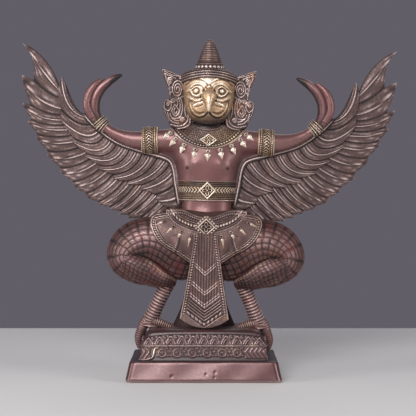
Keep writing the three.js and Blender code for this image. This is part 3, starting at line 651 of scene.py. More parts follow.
def feather_tier(lines, count, notch, faces, size, sweep, lit):
    """A tier of feathers, each with a bright rib, fine lines beside it and its own tip.

    lines are the roots, bends and tips by feather number. notch parts the tips. faces are how far
    front and back stand off the wing's middle. size is columns to a feather, and rows. sweep
    carries the rib off the feather's middle toward its tip, and lit is the rib's brightness.
    """
    columns, rows = size
    even = np.arange(count * columns + 1) / columns
    even = even - 0.6 * np.sin(2 * TURN * even) / (2 * TURN)
    number, s = (even - 0.5)[None, :], (even / count)[None, :]
    v = np.linspace(0, 1, rows + 1)[:, None]
    centre = sweep * v**2
    off = number - np.round(number) - centre
    r = np.abs(off) / np.where(off > 0, 0.5 - centre, 0.5 + centre)
    roots, bends, tips = (through(line)(number[0]) for line in lines)
    t = (1 - (1 - v) ** 1.25) * (1 - notch(s) * r)
    x, z = (
        (1 - t) ** 2 * roots[:, k] + 2 * t * (1 - t) * bends[:, k] + t**2 * tips[:, k]
        for k in range(2)
    )
    wide = np.hypot(*(np.gradient(a, axis=1) / np.gradient(number[0]) for a in (x, z)))
    wide = np.clip(wide, 2.5, 16)
    side, seam = np.abs(off) * wide, (1 - r) * wide / 2
    fall = np.sqrt(clamp(1 - (2 * v - 1) ** 24)) * edge_rise(s, count * 6)
    length = np.hypot(*(tips - roots).T)[None, :]
    tip = fade(v, 0.8, 1)
    rib = bump(side, 0.55) * clamp(v * 6) * (1 - 0.6 * tip)
    groove = bump(seam, 0.5)
    fine = grooves(side - wide * 0.02, wide / 5.2, 0.34) * (side > 1.0) * (seam > 0.8)
    rise = 0.2 * (1 - r**3) + 0.6 * rib - 0.6 * groove + 0.25 * fine
    behind = 0.4 * (1 - r**2) + 0.3 * rib
    front = points_at(x, wing_depth(x) - (faces[0] + rise) * fall, z)
    back = points_at(x, wing_depth(x) + (faces[1] + behind) * fall, z)
    # The dark lines either side of the rib are painted shade beside it.
    shade = lit * rib - 0.4 * groove + 0.2 * fine - 0.2 * bump(side - 1.15, 0.4)
    barb = np.maximum(v * length + side * 0.7, 0.01)
    return shell(front, back, shade=shade - 0.06 - 0.06 * tip, barb=barb)


def wing():
    """Two tiers of feathers, and the three cords of the border along the roots."""
    upper_lines = (UPPER_ROOTS, UPPER_BENDS, UPPER_TIPS)
    lower_lines = (LOWER_ROOTS, LOWER_BENDS, LOWER_TIPS)

    def upper_notch(s):
        return 0.13 + 0 * s

    def lower_notch(s):
        return 0.09 + 0.23 * np.sin(math.pi * s**12)

    made = [
        feather_tier(upper_lines, UPPER_FEATHERS, upper_notch, (4.2, 1.6), (18, 70), 0.1, 0.5),
        feather_tier(lower_lines, LOWER_FEATHERS, lower_notch, (1.6, 3.4), (12, 70), 0.24, 0.42),
    ]
    edge = through(UPPER_ROOTS)(BORDER_PLACES)
    ahead = np.gradient(edge, axis=0)
    normal = unit(np.column_stack([ahead[:, 1], -ahead[:, 0]]))
    for radius, inward, shade in BORDER_CORDS:
        x, z = (edge + normal * inward).T
        depth = wing_depth(x) - 4.9 - 1.6 * fade(x, 50, 38)
        stations = np.column_stack([x, depth, z, np.full((len(x), 2), radius)])
        made.append(limb(stations, 8, 60, 0.04, shade=shade))
    return made


# The head.


def face_lines(x, z):
    """Height of the fine lines and the eye of the face."""
    x = np.abs(x)
    made = sum(
        height * bump(to_line(x, z, smooth_line(points)), width)
        for height, width, points in FACE_LINES
    )
    r = np.hypot(x - EYE[0], z - EYE[1])
    return made + 1.3 * boss(r, 2.2) - 0.9 * bump(r - 2.9, 0.5)


def face_relief(grid, *_):
    """Eye sockets, cheeks and brow, and the fine lines over them."""
    x, z = np.abs(grid[..., 0]), grid[..., 2]
    socket = np.hypot((x - EYE[0]) / 1.3, z - EYE[1])
    cheek = clamp(1 - ((x - 10.4) / 10) ** 2 - ((z - 215.6) / 9.6) ** 2)
    forms = 2.6 * cheek**0.8 - 1.2 * bump(socket, 5) + 1.2 * bump(np.hypot(x / 1.6, z - 242), 6)
    return (face_lines(x, z) * 0.9 + forms) * fade(grid[..., 1], -12, -20)


def face():
    skull = limb(SKULL, 220, 116, 0.1, relief=face_relief)
    x, y, z = skull.points.T
    front = fade(y, -9, -14)
    skull.marks["gilt"] = front * fade(z, 204, 206)
    # Painted highlight on the forehead; the face darker toward the chin.
    lit = 0.34 * bump(np.hypot(x / 2.2, z - 243), 5.6) - 0.22 * fade(z, 216, 206)
    skull.marks["shade"] = (0.24 * face_lines(x, z) + lit - 0.01) * front - 0.3 * (1 - front)
    beak = limb(BEAK, 36, 44, 0.06, gilt=1.0)
    x, y, z = beak.points.T
    # Painted highlight along the beak's lower ridge, and painted shade on its rear half toward the
    # face.
    beak.marks["shade"] = 0.4 * bump(x, 1.3) * fade(z, 228, 222) - 0.08 - 0.24 * fade(y, -36, -33)
    # The nape is painted dark: painted shadow under the chin.
    nape = dome((0, 0, 204), (25, 9, 13), 28, 16, shade=-0.34)
    return [skull, beak, nape]


def crown():
    """Cap and ringed cone, one turned piece whose rim is arched over the forehead."""
    profile = smooth_line(CAP, 120)
    angle = circle(170)[None, :]
    radius, height = profile[:, 0][:, None], profile[:, 1][:, None]
    lines = ridges(height, CAP_LINES) + 0 * angle
    first, last, step = STIPPLE_ROWS
    row = np.round((height - first) / step)
    from_row = (height - first - row * step) * 1.3
    stipple = beads(angle * 22 + row * 1.2, from_row, 0, 2.4, 1.05)
    stipple = stipple * (row > -0.5) * (height < last)
    loops = beads(angle * CONE_FOOT, height, LOOPS_HEIGHT, TURN * CONE_FOOT / CAP_LOOPS, 1.95)
    turned = (height > 262) * np.cos(height * TURN / 2.2)
    foot = bump(height - 260, 0.6)
    reach = radius + 0.8 * lines + 0.5 * stipple + 1.3 * loops + 0.6 * foot + 0.14 * turned
    arch = CAP_ARCH * fade(height, 255.5, 249.5) * np.maximum(0, -np.sin(angle)) ** 2
    tip = fade(height, 276, 283) + 0 * angle
    shade = 0.5 * lines + 0.36 * stipple + 0.6 * loops + 0.35 * foot + 0.08 * turned
    shade = shade - 0.24 + 0.2 * (height > 261) + 0.06 * tip
    grid = points_at(reach * np.cos(angle), reach * np.sin(angle) - 8, height + arch)
    return tube(grid, gilt=0.06 * tip, shade=shade)


def spiral(x, z, wide, tall, turns):
    """Points of an oval spiral, from the outside in."""
    turn = np.linspace(0, TURN * turns, int(30 * turns))
    share = 1 - 0.86 * turn / turn[-1]
    return np.column_stack([x - wide * share * np.cos(turn), z + tall * share * np.sin(turn)])


def outline_radius(outline, middle, angle):
    """Distance from the middle to a closed outline in each direction."""
    corner = np.asarray(outline, float) - middle
    edge = np.roll(corner, -1, 0) - corner
    c, s = np.cos(angle)[:, None], np.sin(angle)[:, None]
    cross = c * edge[:, 1] - s * edge[:, 0]
    cross = np.where(np.abs(cross) < TINY, TINY, cross)
    far = (corner[:, 0] * edge[:, 1] - corner[:, 1] * edge[:, 0]) / cross
    along = (corner[:, 0] * s - corner[:, 1] * c) / cross
    hit = (along >= -TINY) & (along <= 1 + TINY)
    return np.where(hit, far, 0).max(-1)


def ear():
    """A flat plate with a rounded edge and carved scrolls, drawn in rings about its middle."""
    angle = circle(184)
    reach = outline_radius(EAR, EAR_MIDDLE, angle)

    def ring(share):
        across = EAR_MIDDLE[0] + share * reach * np.cos(angle)
        return across, EAR_MIDDLE[1] + share * reach * np.sin(angle)

    share = np.sin(np.linspace(0.02, 1, 46) * math.pi / 2)[:, None]
    x, z = ring(share)
    rim = (1 - share) * reach
    strokes = [spiral(*values) for values in EAR_SPIRALS]
    strokes += [smooth_line(points, 12) for points in EAR_STROKES]
    near = np.min([to_line(x, z, line) for line in strokes], axis=0)
    carving = np.maximum(bump(near, 0.75), bump(rim - 1.2, 0.7) * (z > 203))
    proud = 0.2 + 0.9 * carving - 1.7 * clamp(1 - rim / 1.1) ** 2
    rear_x, rear_z = ring(np.linspace(1, 0.05, 6)[:, None])
    grid = np.vstack([points_at(x, -10 - proud, z), points_at(rear_x, -3.0, rear_z)])
    return tube(grid, shade=np.vstack([0.4 * carving - 0.2, np.zeros(rear_x.shape)]))


# Jewellery.


def hugging(grid, tree, offset, rounds):
    """The grid laid on a skin, that far off it, its creases eased."""
    laid = grid.copy()
    flat = laid.reshape(-1, 3)
    for k, point in enumerate(flat):
        where, normal, _, _ = tree.find_nearest(Vector(point))
        flat[k] = np.array(where) + np.array(normal) * offset
    for _ in range(rounds):
        eased = laid.copy()
        eased[1:-1] = (laid[:-2] + laid[2:] + 2 * laid[1:-1]) / 4
        laid = (np.roll(eased, 1, 1) + np.roll(eased, -1, 1) + 2 * eased) / 4
    return laid


def diamond(place, half_width, half_height, thick, gilt=1.0, field=-0.36):
    """A diamond boss with a thick border, and a flower of four petals in its sunk field."""
    x, y, z = place
    u, v = np.meshgrid(np.linspace(-1, 1, 50), np.linspace(-1, 1, 50), indexing="ij")
    a, b = (u - v) / 2, (u + v) / 2
    edge = np.maximum(np.abs(u), np.abs(v))
    r, turn = np.hypot(a, b), np.arctan2(b, a)
    border = clamp(1.25 - np.abs(edge - 0.84) / 0.13) ** 0.5
    petals = bump(r - 0.1 - 0.4 * np.abs(np.cos(turn * 2)), 0.07) * (edge < 0.68)
    rise = np.maximum(border, np.maximum(0.9 * petals, boss(r, 0.1)))
    depth = y - thick * (0.5 + rise) * np.minimum(1, (1 - edge) * 12)
    across, height = x + a * half_width, z + b * half_height
    front, back = points_at(across, depth, height), points_at(across, y + thick * 2.5, height)
    return plate(front, back, gilt=gilt, shade=field + (0.34 - field) * rise)


def hung(start, direction, length, profile, rows, sides, gilt, shade):
    """Oval sections hung from a place. profile: share of the length, half width, half depth."""
    table = np.asarray(profile, float)
    t = np.linspace(0, 1, rows)[:, None]
    half, lift = (np.interp(t, table[:, 0], table[:, k]) for k in (1, 2))
    angle = circle(sides)
    across, down = half * np.cos(angle), t * length
    deep = lift * np.sign(np.sin(angle)) * np.abs(np.sin(angle)) ** 1.3
    c, s = math.cos(direction), math.sin(direction)
    x, y, z = start
    grid = points_at(x + down * c - across * s, y + deep, z + down * s + across * c)
    return tube(grid, gilt=gilt, shade=shade)


def drop(place, direction, length, kind):
    """A hanging drop: a boss with a hole painted as a dark dome, and a pointed end below it."""
    x, y, z = place
    c, s = math.cos(direction), math.sin(direction)
    split = length * kind["split"]
    hole = (x + c * split / 2, y - kind["sunk"], z + s * split / 2)
    return [
        hung(place, direction, split, *kind["boss"]),
        hung((x + c * split, y, z + s * split), direction, length - split, *kind["point"]),
        # The hole is a dark dome: painted shade of its inside.
        dome(hole, kind["hole"], 10, 6, shade=-0.6),
    ]


def collar(tree):
    """The wide collar, laid on the shoulders, with its front diamond."""
    share = np.linspace(0, 1, 52)[:, None]
    angle = circle(280)[None, :]
    size = COLLAR_INNER + (COLLAR_OUTER - COLLAR_INNER) * share[..., None]
    drape = np.abs(np.sin(angle)) ** 1.6
    height = size[..., 2] + 6 * np.sin(share * math.pi) * (1 - drape) - size[..., 3] * drape
    grid = points_at(np.cos(angle) * size[..., 0], np.sin(angle) * size[..., 1], height)
    laid = hugging(grid, tree, 1.0, 6)
    outward = grid_normals(laid)
    outward *= np.sign(np.sum(outward * (laid - [0, 0, 190])))
    around, across = angle * 30, share * 24
    rise = ridges(across, COLLAR_RIDGES) + 0.8 * beads(around, across, *COLLAR_BEADS)
    rise = rise + 0.6 * lattice(around, across, 3.0, 0.5) * (across > 2.6) * (across < 17.2)
    face_side = laid + outward * (rise * edge_rise(share, 25))[..., None]
    behind = (laid - outward * 2.5)[::-8]
    plain = np.zeros(behind.shape[:2])
    right = clamp(np.cos(angle) * 1.5 + 0.1)
    gilt = (0.1 + 0.7 * right) * clamp(-np.sin(angle)) * clamp(share * 3)
    marks = {"gilt": np.vstack([gilt, plain]), "shade": np.vstack([0.55 * rise - 0.34, plain])}
    front = diamond(COLLAR_FRONT, 9, 6.4, 1.4, 0.9, -0.14)
    return [torus(np.concatenate([face_side, behind]), **marks), front]


def collar_drops(tree):
    drops = []
    for k in range(COLLAR_DROPS):
        turn = math.radians((k - COLLAR_DROPS // 2) * COLLAR_DROP_STEP)
        x = 36 * math.sin(turn)
        z = 196.4 - 18.4 * abs(math.cos(turn)) ** 1.6
        skin_y = tree.ray_cast(Vector((x, -80, z - 3)), Vector(BACK))[0][1]
        drops += drop((x, skin_y - 0.6, z), turn * 0.7 - math.pi / 2, 12.2, LEAF_DROP)
    return drops


def arm_ring(start, stop, radius, relief, gilt):
    """A band round the arm between two shares of its length."""
    share = np.linspace(0, 1, 38)
    values = at_shares(ARM, start + (stop - start) * share)
    across, deep = directions(values[:, :3])
    angle = circle(130)
    length = np.linalg.norm(values[-1, :3] - values[0, :3])
    rise = relief(share[:, None] * length, angle[None, :] * radius, length)
    reach = (radius - 1.2) + (1.2 + rise) * edge_rise(share, 14)[:, None]
    out = across[:, None] * np.cos(angle)[:, None] + deep[:, None] * np.sin(angle)[:, None]
    return tube(values[:, None, :3] + out * reach[..., None], gilt=gilt, shade=0.64 * rise - 0.36)


def armlet_relief(along, around, length):
    middle = np.abs(along - length / 2)
    from_edge = length / 2 - middle
    rise = 0.9 * bump(from_edge - 0.9, 0.5) + 0.6 * bump(middle - 3.4, 0.4)
    rise = rise + 0.9 * beads(around, from_edge, *ARMLET_BEADS)
    return rise + 1.0 * grooves(around + middle, 3.0, 0.6) * (middle < 2.8)


def wristlet_relief(along, around, length):
    return grooves(along - 0.4, 2.3, 0.55) + 0.7 * beads(around, along, length / 2, 2.0, 0.8)


def waist_belt():
    """The belt under the chest, with its front diamond."""
    z = np.linspace(-BELT_HALF, BELT_HALF, 80)[:, None]
    angle = circle(240)[None, :]
    around, middle = np.abs((angle - 0.75 * TURN) * 27), np.abs(z - 0.7)
    rise = ridges(z, BELT_RIDGES) + 0.9 * grooves(around - middle, 3.2, 0.7) * (middle < 2.5)
    rise = rise + 0.5 * beads(around, z, *BELT_BEADS)
    edge = np.minimum(1, (BELT_HALF - np.abs(z)) * 1.2)
    wide, deep = (half + z * 0.08 + (1.6 + rise) * edge for half in BELT_SIZES)
    grid = points_at(wide * np.cos(angle), deep * np.sin(angle), BELT_MIDDLE + z)
    gilt = (0.12 + 0.7 * (middle < 3) + 0.35 * (z < -2.5)) * clamp(-np.sin(angle)) ** 0.5
    plain = np.zeros((2, gilt.shape[1]))
    band = torus(
        np.concatenate([grid, grid[[-1, 0]] * [0.85, 0.85, 1]]),
        gilt=np.concatenate([gilt, plain]),
        shade=np.concatenate([0.5 * rise - 0.34, plain]),
    )
    return [band, diamond(BELT_FRONT, 9, 9, 1.9)]


def skirt_depth(x, z):
    return -30.5 + 0.0115 * (z - SKIRT_MIDDLE) ** 2 + 0.00115 * x**2


def hip_front():
    """The wide V-shaped front of the hip belt."""
    share = np.linspace(0, 1, 52)[:, None]
    x = np.linspace(-HIP_HALF, HIP_HALF, 200)
    low, high = (through(line)(-np.abs(x))[:, 0] for line in (HIP_LOWER, HIP_UPPER))
    z = low + (high - low) * share
    slope = np.cos(np.arctan(np.gradient(low, x)))
    across, width, along = (z - low) * slope, (high - low) * slope, np.abs(x) * 1.2
    down = width - across
    rise = ridges(across, HIP_RIDGES) + 1.2 * beads(along, across, *HIP_BEADS)
    rise = rise + 0.8 * bump(down - 0.9, 0.6) + 0.9 * beads(along, down, *HIP_TOP_BEADS)
    rise = rise + 0.7 * lattice(along, across, 3.2, 0.6) * ((across > 10.2) & (down > 4.6))
    y = skirt_depth(x, z) - 1.2 - rise * edge_rise(share, 14)
    front, back = points_at(x, y, z), points_at(x, np.minimum(y + 14, 2), z)
    return plate(front, back, gilt=0.12 * bump(across - 5.8, 2), shade=0.5 * rise - 0.3)


def hip_band():
    """The plain band round the hips behind the front."""
    angle, section = circle(80)[None, :], circle(16)[:, None]
    half_width, half_back, half_front, height = HIP_BAND
    deep = np.where(np.sin(angle) > 0, half_back, half_front)
    a, b = (half + 2.6 * np.cos(section) for half in (half_width, deep))
    level = height + 4 * np.sin(angle) + 5 * np.sin(section)
    return torus(points_at(a * np.cos(angle), b * np.sin(angle), level), shade=-0.1)


def pendant():
    """The diamond of the hip belt, framed by studs."""
    made = [diamond(PENDANT, 9.4, 9.2, 1.6, 0.3)]
    x, y, z = PENDANT
    count, pitch, out = STUDS
    for side in range(4):
        turn = TURN / 8 + side * TURN / 4
        c, s = math.cos(turn), math.sin(turn)
        for k in range(count):
            step = (k - count // 2) * pitch
            place = (x + out * c - step * s, y - 1.4, z + out * s + step * c)
            made.append(dome(place, STUD_SIZE, 10, 6, gilt=0.2, shade=0.14))
    return made


def skirt(tree):
    """One side of the skirt: two lobes with beaded hems, the outer one lapped over the inner."""
    inner, outer = smooth_line(SKIRT_INNER, 100), smooth_line(SKIRT_OUTER, 100)
    s = np.linspace(0, 1, 84)
    x, z = (inner[:, k][:, None] + (outer - inner)[:, k][:, None] * s for k in range(2))
    y = skirt_depth(x, z)
    for at in np.ndindex(y.shape):
        hit = tree.ray_cast(Vector((x[at], -90, z[at])), Vector(BACK))[0]
        if hit is not None:
            y[at] = min(y[at], hit[1] - 0.9)
    for _ in range(6):
        y[1:-1] = (y[:-2] + y[2:] + 2 * y[1:-1]) / 4
        y[:, 1:-1] = (y[:, :-2] + y[:, 2:] + 2 * y[:, 1:-1]) / 4
    hem = to_line(x, z, outer)
    fold = smooth_line(SKIRT_FOLD)
    lap = to_line(x, z, fold)
    outside = x > np.interp(z, fold[::-1, 1], fold[::-1, 0])
    rise = ridges(hem, HEM_RIDGES) + beads(distance_run(outer)[:, None], hem, *HEM_BEADS)
    step = (z < LAP_TOP) * (1.1 * outside * np.exp(-lap / 6) + 0.3 * bump(lap, 0.7))
    pleat = 0.5 * np.cos((x - 0.35 * z) * 0.5) * fade(z, 96, 82)
    front = points_at(x, y - 0.8 - (rise + step + pleat) * np.minimum(1, hem * 1.2), z)
    shade = np.where(hem < 6, 0.6 * rise - 0.38, 0.16 * pleat - 0.06)
    # Painted highlight along the lap's edge, and painted shadow it casts on the inner lobe.
    shade = shade + (0.1 * bump(lap, 0.8) - 0.26 * bump(lap - 1.5, 0.8) * ~outside) * (z < LAP_TOP)
    return plate(front, points_at(x, y + 4, z), gilt=0.1 * bump(hem - 2.7, 2.0), shade=shade)


def skirt_drops():
    drops = []
    for x, z, degrees, length in SKIRT_DROPS:
        place = (x, skirt_depth(x, z) - 2.2, z)
        drops += drop(place, math.radians(degrees), length, SPIKE_DROP)
    return drops


def sash():
    """The pleated front cloth: three laps with V-shaped ends, ribs below, and a scrolled hem."""
    t, c = np.linspace(0, 1, 200)[:, None], np.linspace(-1, 1, 100)[None, :]
    half = SASH_HALF[0] + SASH_HALF[1] * t**1.15
    level = SASH_LENGTH * t + 9 * t**3 * (1 - c**2)
    x, z = c * half, SASH_TOP - level
    middle = SASH_DEPTH[0] + SASH_DEPTH[1] * t
    from_side = (1 - np.abs(c)) * half
    border = ridges(from_side, SASH_RIDGES) + beads(level, from_side, *SASH_BEADS)
    point = level + np.abs(x) * (1.08 - 0.42 * t)
    field = np.full_like(z, 0.2)
    for top, bottom in zip(SASH_LAPS[:-1], SASH_LAPS[1:]):
        inside = (point > top) & (point <= bottom)
        field = np.where(inside, 0.15 + 0.5 * grooves(x, 2.6, 0.6), field)
        field = field + ridges(point - bottom, LAP_RIDGES)
    ribs = (point > SASH_LAPS[-1]) & (point <= SASH_RIBS_END)
    field = np.where(ribs, 0.9 * grooves(point - SASH_LAPS[-1], 2.9, 0.75), field)
    below = point - SASH_RIBS_END
    field = np.where((below > 0) & (below <= 5.5), beads(x, below, *SASH_CURLS), field)
    field = field + 0.7 * bump(below - 5.6, 0.6)
    rise = np.where(below > 6.2, 0.6, np.where(from_side > 5, field, border))
    edge = np.minimum(1, from_side * 1.5) * np.minimum(1, (1 - t) * 60)
    front, back = points_at(x, middle - 1.6 - rise * edge, z), points_at(x, middle + 2.2, z)
    return plate(front, back, gilt=0.05 * (from_side < 4.8), shade=0.54 * rise - 0.3)


# The legs.


def scales(pitch, lines, depth):
    """A net of square scales: grooves round the limb and along it."""

    def relief(_, length, angle):
        turn = angle / TURN * lines + 0.25 * np.sin(length / 11)
        around = length + 0.7 * np.sin(angle * 3) + 0.3 * np.sin(angle * 7)
        row, column = np.round(around / pitch), np.round(turn)
        tilt = np.sin(row * 12.7 + column * 7.3)
        net = np.maximum(grooves(around, pitch, 0.55), bump((turn - column) * 5.4, 0.55))
        hatch = np.sin((around + turn * 5.4) * TURN / 2.2)
        return 0.1 + 0.16 * tilt + 0.08 * hatch - depth * net

    return relief


def rings(pitch, height, width):
    def relief(_, length, __):
        return height * grooves(length, pitch, width) - height / 3

    return relief


def leg():
    """Thigh and calf with scales, painted shade and highlight at the knee's fold, shin and toes."""
    fold = smooth_line(KNEE_FOLD)
    upper = limb(LEG, 150, 180, 0.06, relief=scales(5.8, 24, 0.5), lit=0.62)
    x, y, z = upper.points.T
    # Painted shade in the knee's fold, where the calf meets the thigh.
    near = bump(to_line(x, z, fold), 1.5)
    upper.marks["shade"] += -0.3 * fade(x, 78, 62) * near * (y < -6) - 0.05
    calf = limb(CALF, 100, 116, 0.08, relief=scales(3.6, 20, 0.42), lit=0.6)
    x, _, z = calf.points.T
    # Painted highlight along the calf's upper edge, with a little brass colour.
    bright = bump(to_line(x, z, fold - [0, 1.4]), 1.0) * fade(x, 66, 54)
    calf.marks["shade"] += 0.16 * bright - 0.1
    calf.marks["gilt"] = 0.25 * bright
    shin = limb(SHIN, 36, 140, 0, relief=rings(3.1, 1.1, 0.9), lit=0.42, shade=0.02)
    return [upper, calf, shin, *toes()]


def toe(points, depth, pitch, height, size, **marks):
    """A ringed toe. size is its thickness as a share of the largest."""
    stations = [(*p, TOE * k * size, TOE * k * size) for p, k in zip(points, TOE_SHAPE)]
    relief = rings(pitch, height, pitch * 0.28)
    return limb(stations, 24, 84, 0.06, depth, relief=relief, **marks)


def toes():
    """The outer toe hangs down the tier's side, one lies inward and one to the rear."""
    x, y, top = ANKLE
    bends = [(-1.1, 1.8 * TOE), (-0.1, -0.2 * TOE), (0.5, -10), (0.3, -20)]
    outward = [(x, y, top), *[(TOE_SIDE + k * TOE, y, z) for k, z in bends]]
    inward = [(x - k * 23, y - 3, top * 0.8 - 1.7 * TOE * k**1.3) for k in (0, 0.35, 0.6, 0.83, 1)]
    rear = [(x, y + k * 27, top - 1.8 * TOE * k) for k in (0, 0.35, 0.63, 0.85, 1)]
    return [
        toe(outward, BACK, 2.1, 0.6, 0.92, lit=0.4, shade=-0.08),
        toe(inward, BACK, 2.0, 0.7, 0.8, lit=0.5, shade=-0.1, gilt=0.12),
        toe(rear, RIGHT, 2.2, 0.6, 1.0, lit=0.4, shade=-0.1),
    ]


def tail():
    """The cloth that hangs behind, pleated on its back."""

    def pleats(grid, _, angle):
        behind = clamp(np.sin(angle) * 2)
        return 0.7 * np.abs(np.sin(grid[..., 0] * math.pi / 7)) * behind + 0.1 * (1 - behind)

    # The cloth is painted darker: painted shade where it shows behind the sash and legs.
    return limb(TAIL, 80, 60, 0, relief=pleats, shade=-0.24)


# The plinth.


def rounded_rectangle(half_x, half_y, corner, count):
    """Points (x, y) at even steps round a rectangle with round corners, from the right side."""
    flat_x, flat_y = half_x - corner, half_y - corner
    quarter = TURN / 4 * corner
    run = np.linspace(0, 4 * (flat_x + flat_y + quarter), count, endpoint=False)[:, None]
    start, begun = np.array([half_x, 0.0]), 0.0
    points = np.zeros((count, 2))
    for k, length in enumerate((flat_y, 2 * flat_x, 2 * flat_y, 2 * flat_x, flat_y)):
        c, s = math.cos(k * TURN / 4), math.sin(k * TURN / 4)
        outward, ahead = np.array([c, s]), np.array([-s, c])
        flat = np.clip(run - begun, 0, length)
        turn = np.clip(run - begun - length, 0, quarter) / corner
        bend = np.sin(turn) * ahead + (np.cos(turn) - 1) * outward
        points = np.where(run >= begun, start + flat * ahead + corner * bend, points)
        start = start + length * ahead + corner * (ahead - outward)
        begun += length + quarter
    return points


def petal_relief(along, height):
    """Arched leaves side by side, each with inner lines and a bright top."""
    a = off_row(along, PETAL_PITCH)
    f = np.abs(a / 4.9) ** 1.2 + np.clip(height / 8.4, 0, 2) ** 1.4
    rise = 1.3 * bump(f - 0.9, 0.13) + 0.9 * bump(f - 0.44, 0.1)
    gap = np.abs(a) - PETAL_PITCH / 2
    return rise + bump(a, 1.7) * bump(height - 7.6, 1.1) + bump(gap, 1.2) * bump(height - 6.4, 1.6)


def undulation(x, y, z):
    """The slab's hand-made unevenness."""
    waves = np.sin(x / 13 + 1.2) * np.cos(z / 9 + x / 41) + 0.6 * np.sin(x / 7.3 - z / 6 + 2)
    return 0.22 * waves + 0.2 * np.sin(y / 15 + 0.7) * np.cos(z / 8)


def panel_relief(x, z):
    """The front panel: rosettes and dots, a rail that turns down at the left, leaves at the ends."""
    place = x - ROSETTE_SHIFT
    r = np.hypot(off_row(place, ROSETTE_PITCH), z - ROSETTE_LEVEL)
    rise = 0.8 * boss(r, 1.4) + 0.8 * bump(r - 3.6, 0.7)
    between = (place / ROSETTE_PITCH - np.floor(place / ROSETTE_PITCH) - 0.5) * ROSETTE_PITCH
    for shift, level, size in DOTS:
        rise = rise + 0.8 * boss(np.hypot(between - shift, z - level), size)
    left, right = ROSETTE_ENDS
    low, high = LEAF_LEVELS
    rise = rise * ((x > left) & (x < right))
    rise = rise + 1.4 * bump(to_line(x, z, smooth_line(RAIL, 40)), 0.8)
    slant = (np.abs(x) - 46) * 0.8 - np.abs(z - (low + high) / 2) * 0.6
    ends = ((x < LEAF_END) | (x > right)) & (z > low) & (z < high)
    return rise + 0.9 * np.abs(np.sin(slant * math.pi / 3.4)) ** 1.5 * ends


def plinth_rows():
    """Rings of the plinth from the underside up: height, half width, half depth, corner, sag."""
    flank = [(z, 4 * (z - 3) / 15.5) for z in np.linspace(4, 18.2, 14)]
    rows = []
    for z, inward in SLAB_EDGE + flank + SLAB_SHOULDER:
        rows.append((z, SLAB_WIDTH / 2 - inward, SLAB_DEPTH / 2 - inward, SLAB_CORNER, 0))
    for z in np.linspace(SLAB_HEIGHT + 0.05, TIER_TOP, 54):
        lean = TIER_TAPER * (z - SLAB_HEIGHT) / (TIER_TOP - SLAB_HEIGHT)
        sag = max(0.0, (z - BAND_BASE + 2) / (TIER_TOP - BAND_BASE + 2))
        rows.append((z, TIER_BASE[0] - lean, TIER_BASE[1] - lean, TIER_CORNER, sag))
    for share in np.linspace(0, 1, 12):
        z = TIER_TOP + CUSHION_HEIGHT * math.sin(share * TURN / 4)
        inward = 2.2 + 5 * (1 - math.cos(share * TURN / 4))
        sag = 0.9 - 0.7 * share
        rows.append((z, TIER_END[0] - inward, TIER_END[1] - inward, TIER_CORNER, sag))
    return rows


def plinth():
    """Slab, carved tier and cushion."""
    rows = plinth_rows()
    grid = np.zeros((len(rows), PLINTH_SIDES, 3))
    for ring, (level, half_x, half_y, corner, sag) in zip(grid, rows):
        ring[:, :2] = rounded_rectangle(half_x, half_y, corner, PLINTH_SIDES)
        ring[:, 2] = level - sag * TIER_DROOP * (ring[:, 0] / TIER_END[0]) ** 4
    outward = grid_normals(grid)
    outward *= np.sign(np.sum(outward[..., :2] * grid[..., :2]))
    x, y = grid[..., 0], grid[..., 1]
    z = np.array([row[0] for row in rows])[:, None] + 0 * x
    facing = np.abs(outward[..., 1]) > np.abs(outward[..., 0])
    front = facing & (y < 0)
    on_slab = (z > 0.1) & (z < 19.6)
    in_band = (z > BAND_BASE) & (z < TIER_TOP)
    in_panel = front & (z > SLAB_HEIGHT + 0.8) & (z < BAND_BASE - 2.6)
    rise = np.where(in_band, petal_relief(np.where(facing, x, y), z - BAND_BASE), 0)
    rise = rise + 1.4 * bump(z - BAND_BASE + 1.4, 0.75) * ((z > 30) & (z < TIER_TOP))
    rise = np.where(in_panel, panel_relief(x, z), rise)
    for place, level, depth in PITS:
        rise = rise - depth * bump(np.hypot(x - place, z - level), 0.8) * (front & on_slab)
    tier = (z > SLAB_HEIGHT) & (z < TIER_TOP)
    shade = np.where(tier, 0.42 * rise - 0.31, np.where(z >= TIER_TOP, -0.24, 0.5 * rise * on_slab))
    ledge = (z >= 19.7) & (z <= SLAB_HEIGHT + 0.6)
    # The ledge darker; painted shade on the slab's sides and at its foot.
    shade = np.where(ledge, -0.34, shade) - 0.15 * (~facing & (z < SLAB_HEIGHT))
    shade = shade - 0.3 * fade(z, 1.2, 0)
    rubbed = sum(
        bump(np.hypot(x - place, (z - level) * flatness), size)
        for place, level, flatness, size in RUBBED
    )
    gilt = 0.45 * clamp(rubbed) * (front & (z > SLAB_HEIGHT))
    rise = rise + undulation(x, y, z) * on_slab * clamp(z / 3)
    return tube(grid + outward * rise[..., None], gilt=gilt, shade=shade)


# Meshes and pieces.


def placed(name, data):
    """A new object in the scene."""
    made = bpy.data.objects.new(name, data)
    bpy.context.collection.objects.link(made)
    return made


def read_back(items, label, width, kind=float):
    """An attribute of all of a mesh's items as an array."""
    values = np.empty(len(items) * width, kind)
    items.foreach_get(label, values)
    return values.reshape(-1, width)


def smoothed(points, edges, rounds):
    """Each point moved to the mean of its neighbours, that many times."""
    a, b = edges.T
    count = len(points)
    degree = np.maximum(1, np.bincount(a, minlength=count) + np.bincount(b, minlength=count))
    for _ in range(rounds):
        sums = [
            np.bincount(a, points[b, k], count) + np.bincount(b, points[a, k], count)
            for k in range(3)
        ]
        points = np.stack(sums, -1) / degree[:, None]
    return points


